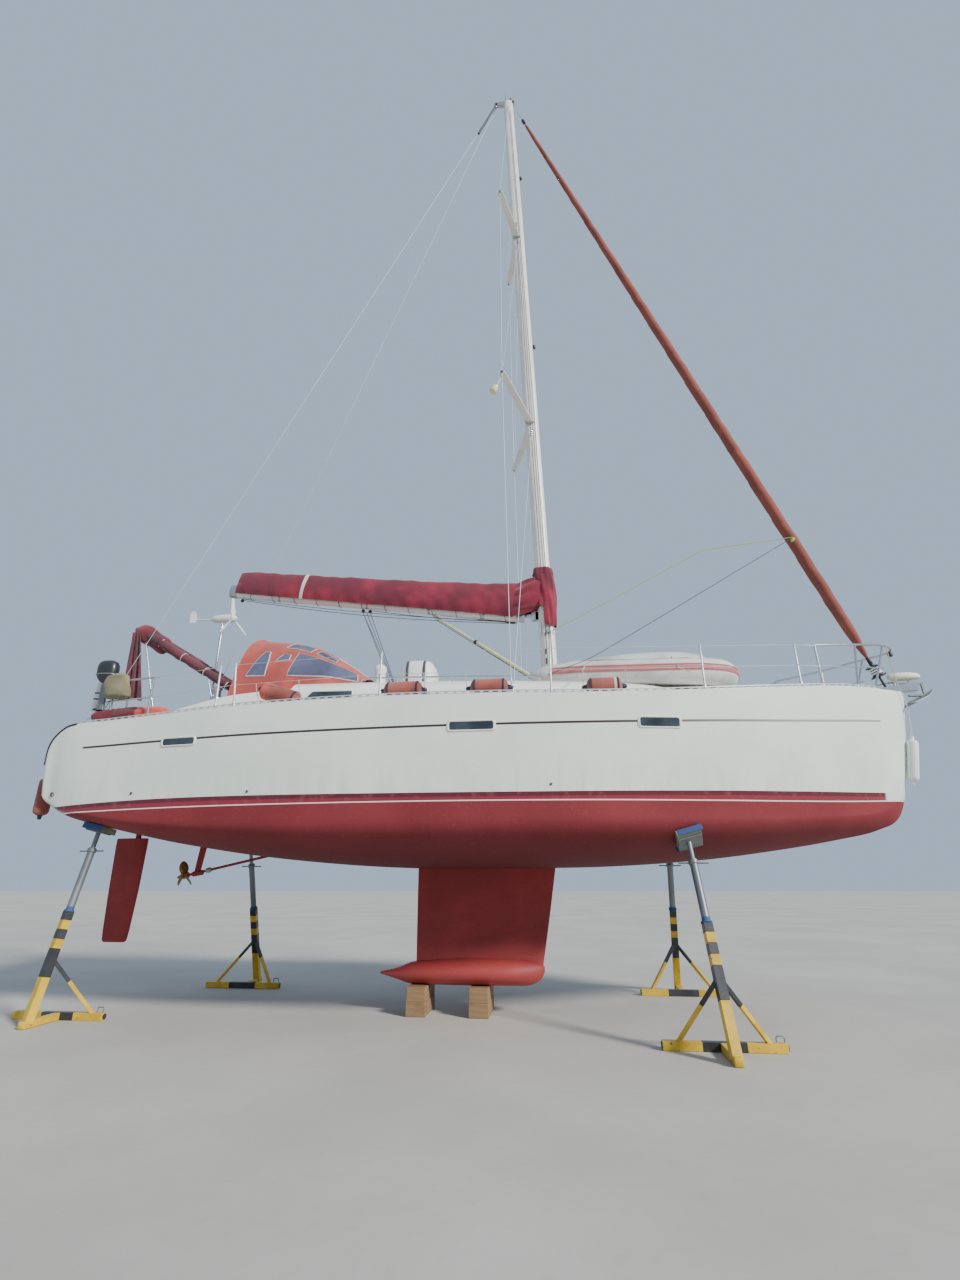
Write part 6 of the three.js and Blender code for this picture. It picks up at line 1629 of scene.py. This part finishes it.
# Wind generator: a pole on the port quarter with a swivelling alloy head, a tail fin and a
# three-bladed rotor.
GX, GY, GH = -5.33, 1.18, 4.02
pole = Form().turned(at(GX, GY, 1.25), UP, [(0, .024), (.2, .024), (2.63, .024), (2.65, .022)], 20)
pole.turned(at(GX, GY, deck_top(GX, GY)), UP, [(0, .06), (.01, .06), (.02, .034), (.06, .028)], 20)
for h in (1.985, 1.66):
    pole.tube([at(GX, GY, h), at(-5.3, 1.385, h)], .011, 10)
pole.piece("generator_pole_tube", steel, "stainless", "generator_pole")
head = Form().turned(at(GX, GY, GH), AHEAD, [(-.26, .022), (-.24, .03), (-.17, .07), (-.05, .082), (.1, .084),
    (.165, .082), (.17, .07)], 32)
head.turned(at(GX, GY, 3.901), UP, [(0, .028), (.01, .031), (.05, .031), (.07, .045)], 20)
head.tube([at(GX - .23, GY, GH), at(GX - .56, GY, GH + .01)], .012, 12)
FIN = ((-.56, -.05), (-.69, -.05), (-.7, .16), (-.66, .2), (-.6, .19), (-.54, .02))
head.prism(eased([at(GX + x, GY - .004, GH + z) for x, z in FIN], .02, True), (0, .008, 0))
head.piece("generator_body", moulded, "white_plastic", "generator_head", "generator_head")
rotor = Form().turned(at(GX + .171, GY, GH), AHEAD, [(0, .03), (.006, .03), (.008, .07), (.02, .076),
    (.05, .074), (.08, .055), (.102, .03), (.109, .008)], 30)
# distance from the axis, chord, thickness, twist
ROTOR_ROWS = ((.04, .045, .01, .7), (.12, .1, .009, .55), (.25, .08, .008, .32), (.42, .06, .006, .2),
    (.55, .045, .005, .12), (.578, .02, .004, .1))
for turn in turns(3):
    spin = Matrix.Rotation(turn + .3, 3, "X")
    rings = []
    for reach, chord, thick, twist in ROTOR_ROWS:
        ring = []
        for a in turns(20):
            u, v = chord / 2 * cos(a), thick / 2 * sin(a)
            across = u * cos(twist) - v * sin(twist)
            ahead = u * sin(twist) + v * cos(twist)
            ring.append(at(GX + .206, GY, GH) + spin @ Vector((ahead, across, reach)))
        rings.append(ring)
    rotor.loft(rings, 1)
rotor.piece("generator_blades", [moulded, plastic], "white_plastic", "generator_rotor", "generator_rotor")


# Bathing ladder: folding stainless tube hinged under the transom's edge, with wooden treads.
ladder = Form()
ladder.tube([at(-6.185, y, h) for y, h in ((-.15, 1.27), (-.15, .457), (.15, .457), (.15, 1.27))], .0128, 12,
    0, .05)
for h in (.515, .75, .985, 1.22):
    ladder.tube([at(-6.185, -.15, h), at(-6.185, .15, h)], .011, 10)
for h in (.763, .998, 1.233):
    ladder.bar(at(-6.185, -.13, h), at(-6.185, .13, h), .045, .012, .003, 1)
teak = worn("teak", "8b6a49", .75, patch=.2, grain=140, depth=.001)
ladder.piece("bathing_ladder", [steel, teak], "stainless", "boarding_ladder", "boarding_ladder")


# Keel blocks: baulks of softwood that the bulb stands on, stacked in two, with darkened faces.
softwood = Finish("softwood", "b08a5f", .85)
grain_wave = (softwood.noise(3, 4, (1, 3, 1)) * 14 + softwood.z * 95).wave()
wood_tone = softwood.mix(grain_wave.step(-.8, .9) * .3, "8f7352", "705741")
softwood.put("Base Color", softwood.mix(softwood.noise(2.4, 5).step(.5, .75) * .8, wood_tone, "54493e"))
softwood.relief(grain_wave * .3 + softwood.noise(80, 3), .0016, .5)
for name, x0, x1 in (("aft", -1.11, -.85), ("fore", -.29, -.03)):
    baulk = Form()
    baulk.block((x0, -.33, 0), (x1, .33, .17), .006)
    baulk.block((x0 + .004, -.326, .1705), (x1 - .004, .33, .3427), .006)
    baulk.piece(f"keel_block_{name}_baulks", softwood, "timber", f"keel_block_{name}")


# Boat stands: welded square tube in yellow, with black bands, a sliding inner tube with a screw
# jack, and a pad of wood that follows the hull. Four of them hold the boat upright.
stand_yellow = Finish("stand_yellow", "d9a521", .5, Coat_Weight=.2)
stand_black = Finish("stand_black", "24262a", .5, Coat_Weight=.2)
for finish, light, dark, rust in ((stand_yellow, "dcb82e", "c29c20", "7d4a22"),
        (stand_black, "26282c", "34373c", "6b4630")):
    chips, wear = finish.noise(28, 5), finish.noise(4, 4)
    tone = finish.mix(wear.step(.35, .65), light, dark)
    finish.put("Base Color", finish.mix(chips.step(.64, .7), tone, rust))
    finish.put("Roughness", chips * .3 + .32)
    finish.relief(chips, .0012, .5)
pad_wood = worn("pad_wood", "78806f", .85, patch=.2, grain=45, depth=.0014)
pad_blue = worn("pad_blue", "33507e", .7, patch=.15, grain=60)
# place of the foot, place of the pad under the hull
STANDS = {"fore_starboard": (2.55, -2.18, 2.48, -1.33), "fore_port": (2.7, 2.18, 2.65, 1.3),
    "aft_starboard": (-5.45, -1.5, -5.28, -1.13), "aft_port": (-4.3, 2.18, -4.25, 1.25)}


def on_bottom(x, y):
    """The point of the hull's bottom over a place on the ground."""
    low, high = keel_h(x), turn_h(x)
    for _ in range(40):
        middle = (low + high) / 2
        low, high = (middle, high) if hull_half(x, middle) < abs(y) else (low, middle)
    return at(x, y, (low + high) / 2)


for name, (foot_x, foot_y, pad_x, pad_y) in STANDS.items():
    side = copysign(1, foot_y)
    stand, foot, contact = Form(), Vector((foot_x, foot_y, .045)), on_bottom(pad_x, pad_y)
    way = (contact - foot).normalized()
    column_end, jack = foot + way * 1.25, contact - way * .34
    for start, reach, mark in ((0, .5, 0), (.5, .82, 1), (.82, .93, 0), (.93, 1.04, 1), (1.04, 1.15, 0),
            (1.15, 1.25, 1)):
        stand.bar(foot + way * start, foot + way * reach, .1, .1, .004, mark)
    stand.tube([column_end - way * .1, contact - way * .3], .046, 18, 2)
    stand.turned(column_end, way, [(0, .062), (.02, .062), (.025, .047), (.06, .047)], 20, 4)
    stand.turned(contact - way * .36, way, [(0, .047), (.01, .056), (.05, .056), (.055, .03), (.3, .03)], 18,
        2)
    stand.tube([jack + Vector((-.17, 0, 0)), jack + Vector((.17, 0, 0))], .009, 10, 2)
    slope = (on_bottom(pad_x, pad_y * 1.05) - on_bottom(pad_x, pad_y * .95)).normalized()
    lengthwise = (on_bottom(pad_x + .1, pad_y) - on_bottom(pad_x - .1, pad_y)).normalized()
    outward = lengthwise.cross(slope).normalized()
    outward = outward if outward.z < 0 else -outward

    def pad_bar(out, across, reach, wide, deep, ease, mark):
        """A bar that lies lengthwise under the hull at the pad."""
        middle = contact + outward * out + slope * across
        stand.bar(middle - lengthwise * reach, middle + lengthwise * reach, wide, deep, ease, mark,
            up=outward)

    pad_bar(.043, 0, .145, .29, .078, .004, 3)
    pad_bar(.089, 0, .145, .16, .012, .004, 2)
    for across in (-.1465, .1465):
        pad_bar(.043, across, .147, .011, .078, .003, 4)
    bar_y = foot_y - side * .52
    for x0, x1, size, mark in ((-.62, -.22, .088, 0), (.22, .62, .088, 0), (-.22, .22, .087, 1)):
        stand.bar((foot_x + x0, bar_y, .045), (foot_x + x1, bar_y, .045), size, size, .004, mark)
    stand.bar((foot_x, bar_y - side * .01, .045), (foot_x, foot_y + side * .09, .045), .082, .08, .004)
    knee = foot + way * .72
    for end in (-.46, .46):
        low_end = Vector((foot_x + end, bar_y, .07))
        joint = knee.lerp(low_end, .42)
        stand.bar(knee, joint, .044, .044, .003, 1)
        stand.bar(joint, low_end, .044, .044, .003)
    for end in (-.63, .6):
        stand.turned((foot_x + end, bar_y, .048), AHEAD, [(0, .034), (.03, .034)], 14, 1)
    stand.tube([(foot_x + x, bar_y, h) for x, h in ((.6, .095), (.6, .15), (.52, .15), (.52, .095))], .007, 8,
        2, .02)
    stand.piece(f"stand_{name}_frame", [stand_yellow, stand_black, grey_metal, pad_wood, pad_blue],
        "stand_paint", f"stand_{name}")


# Floor and light: smooth pale concrete, a soft pale blue surround and one large soft lamp from
# ahead and to starboard. None of it is part of the yacht.
concrete = Finish("concrete", "b5b2aa", .85)
floor_patches, floor_grain = concrete.noise(.35, 5), concrete.noise(9, 4)
floor_tone = concrete.mix(floor_patches.step(.3, .7), "aeaba3", "bcb9b1")
concrete.put("Base Color", concrete.mix(floor_grain.step(.5, .8) * .3, floor_tone, "a29f97"))
concrete.relief(floor_grain, .002, .3)
floor_mesh = bpy.data.meshes.new("floor")
floor_mesh.from_pydata([(-90, -90, 0), (90, -90, 0), (90, 90, 0), (-90, 90, 0)], [], [(0, 1, 2, 3)])
floor_mesh.materials.append(concrete.material)
floor = bpy.data.objects.new("floor", floor_mesh)
bpy.context.collection.objects.link(floor)
surround = bpy.data.worlds.new("surround")
bpy.context.scene.world = surround
surround.use_nodes = True
surround.node_tree.nodes["Background"].inputs["Color"].default_value = paint("b3c6de")
surround.node_tree.nodes["Background"].inputs["Strength"].default_value = .97
SUN_FROM = Vector((.82, -.56, .6))
sun = bpy.data.objects.new("sun", bpy.data.lights.new("sun", "SUN"))
sun.data.energy = 4.9
sun.data.angle = radians(9)
sun.data.color = (1, .965, .91)
sun.rotation_mode = "QUATERNION"
sun.rotation_quaternion = SUN_FROM.to_track_quat("Z", "Y")
bpy.context.collection.objects.link(sun)
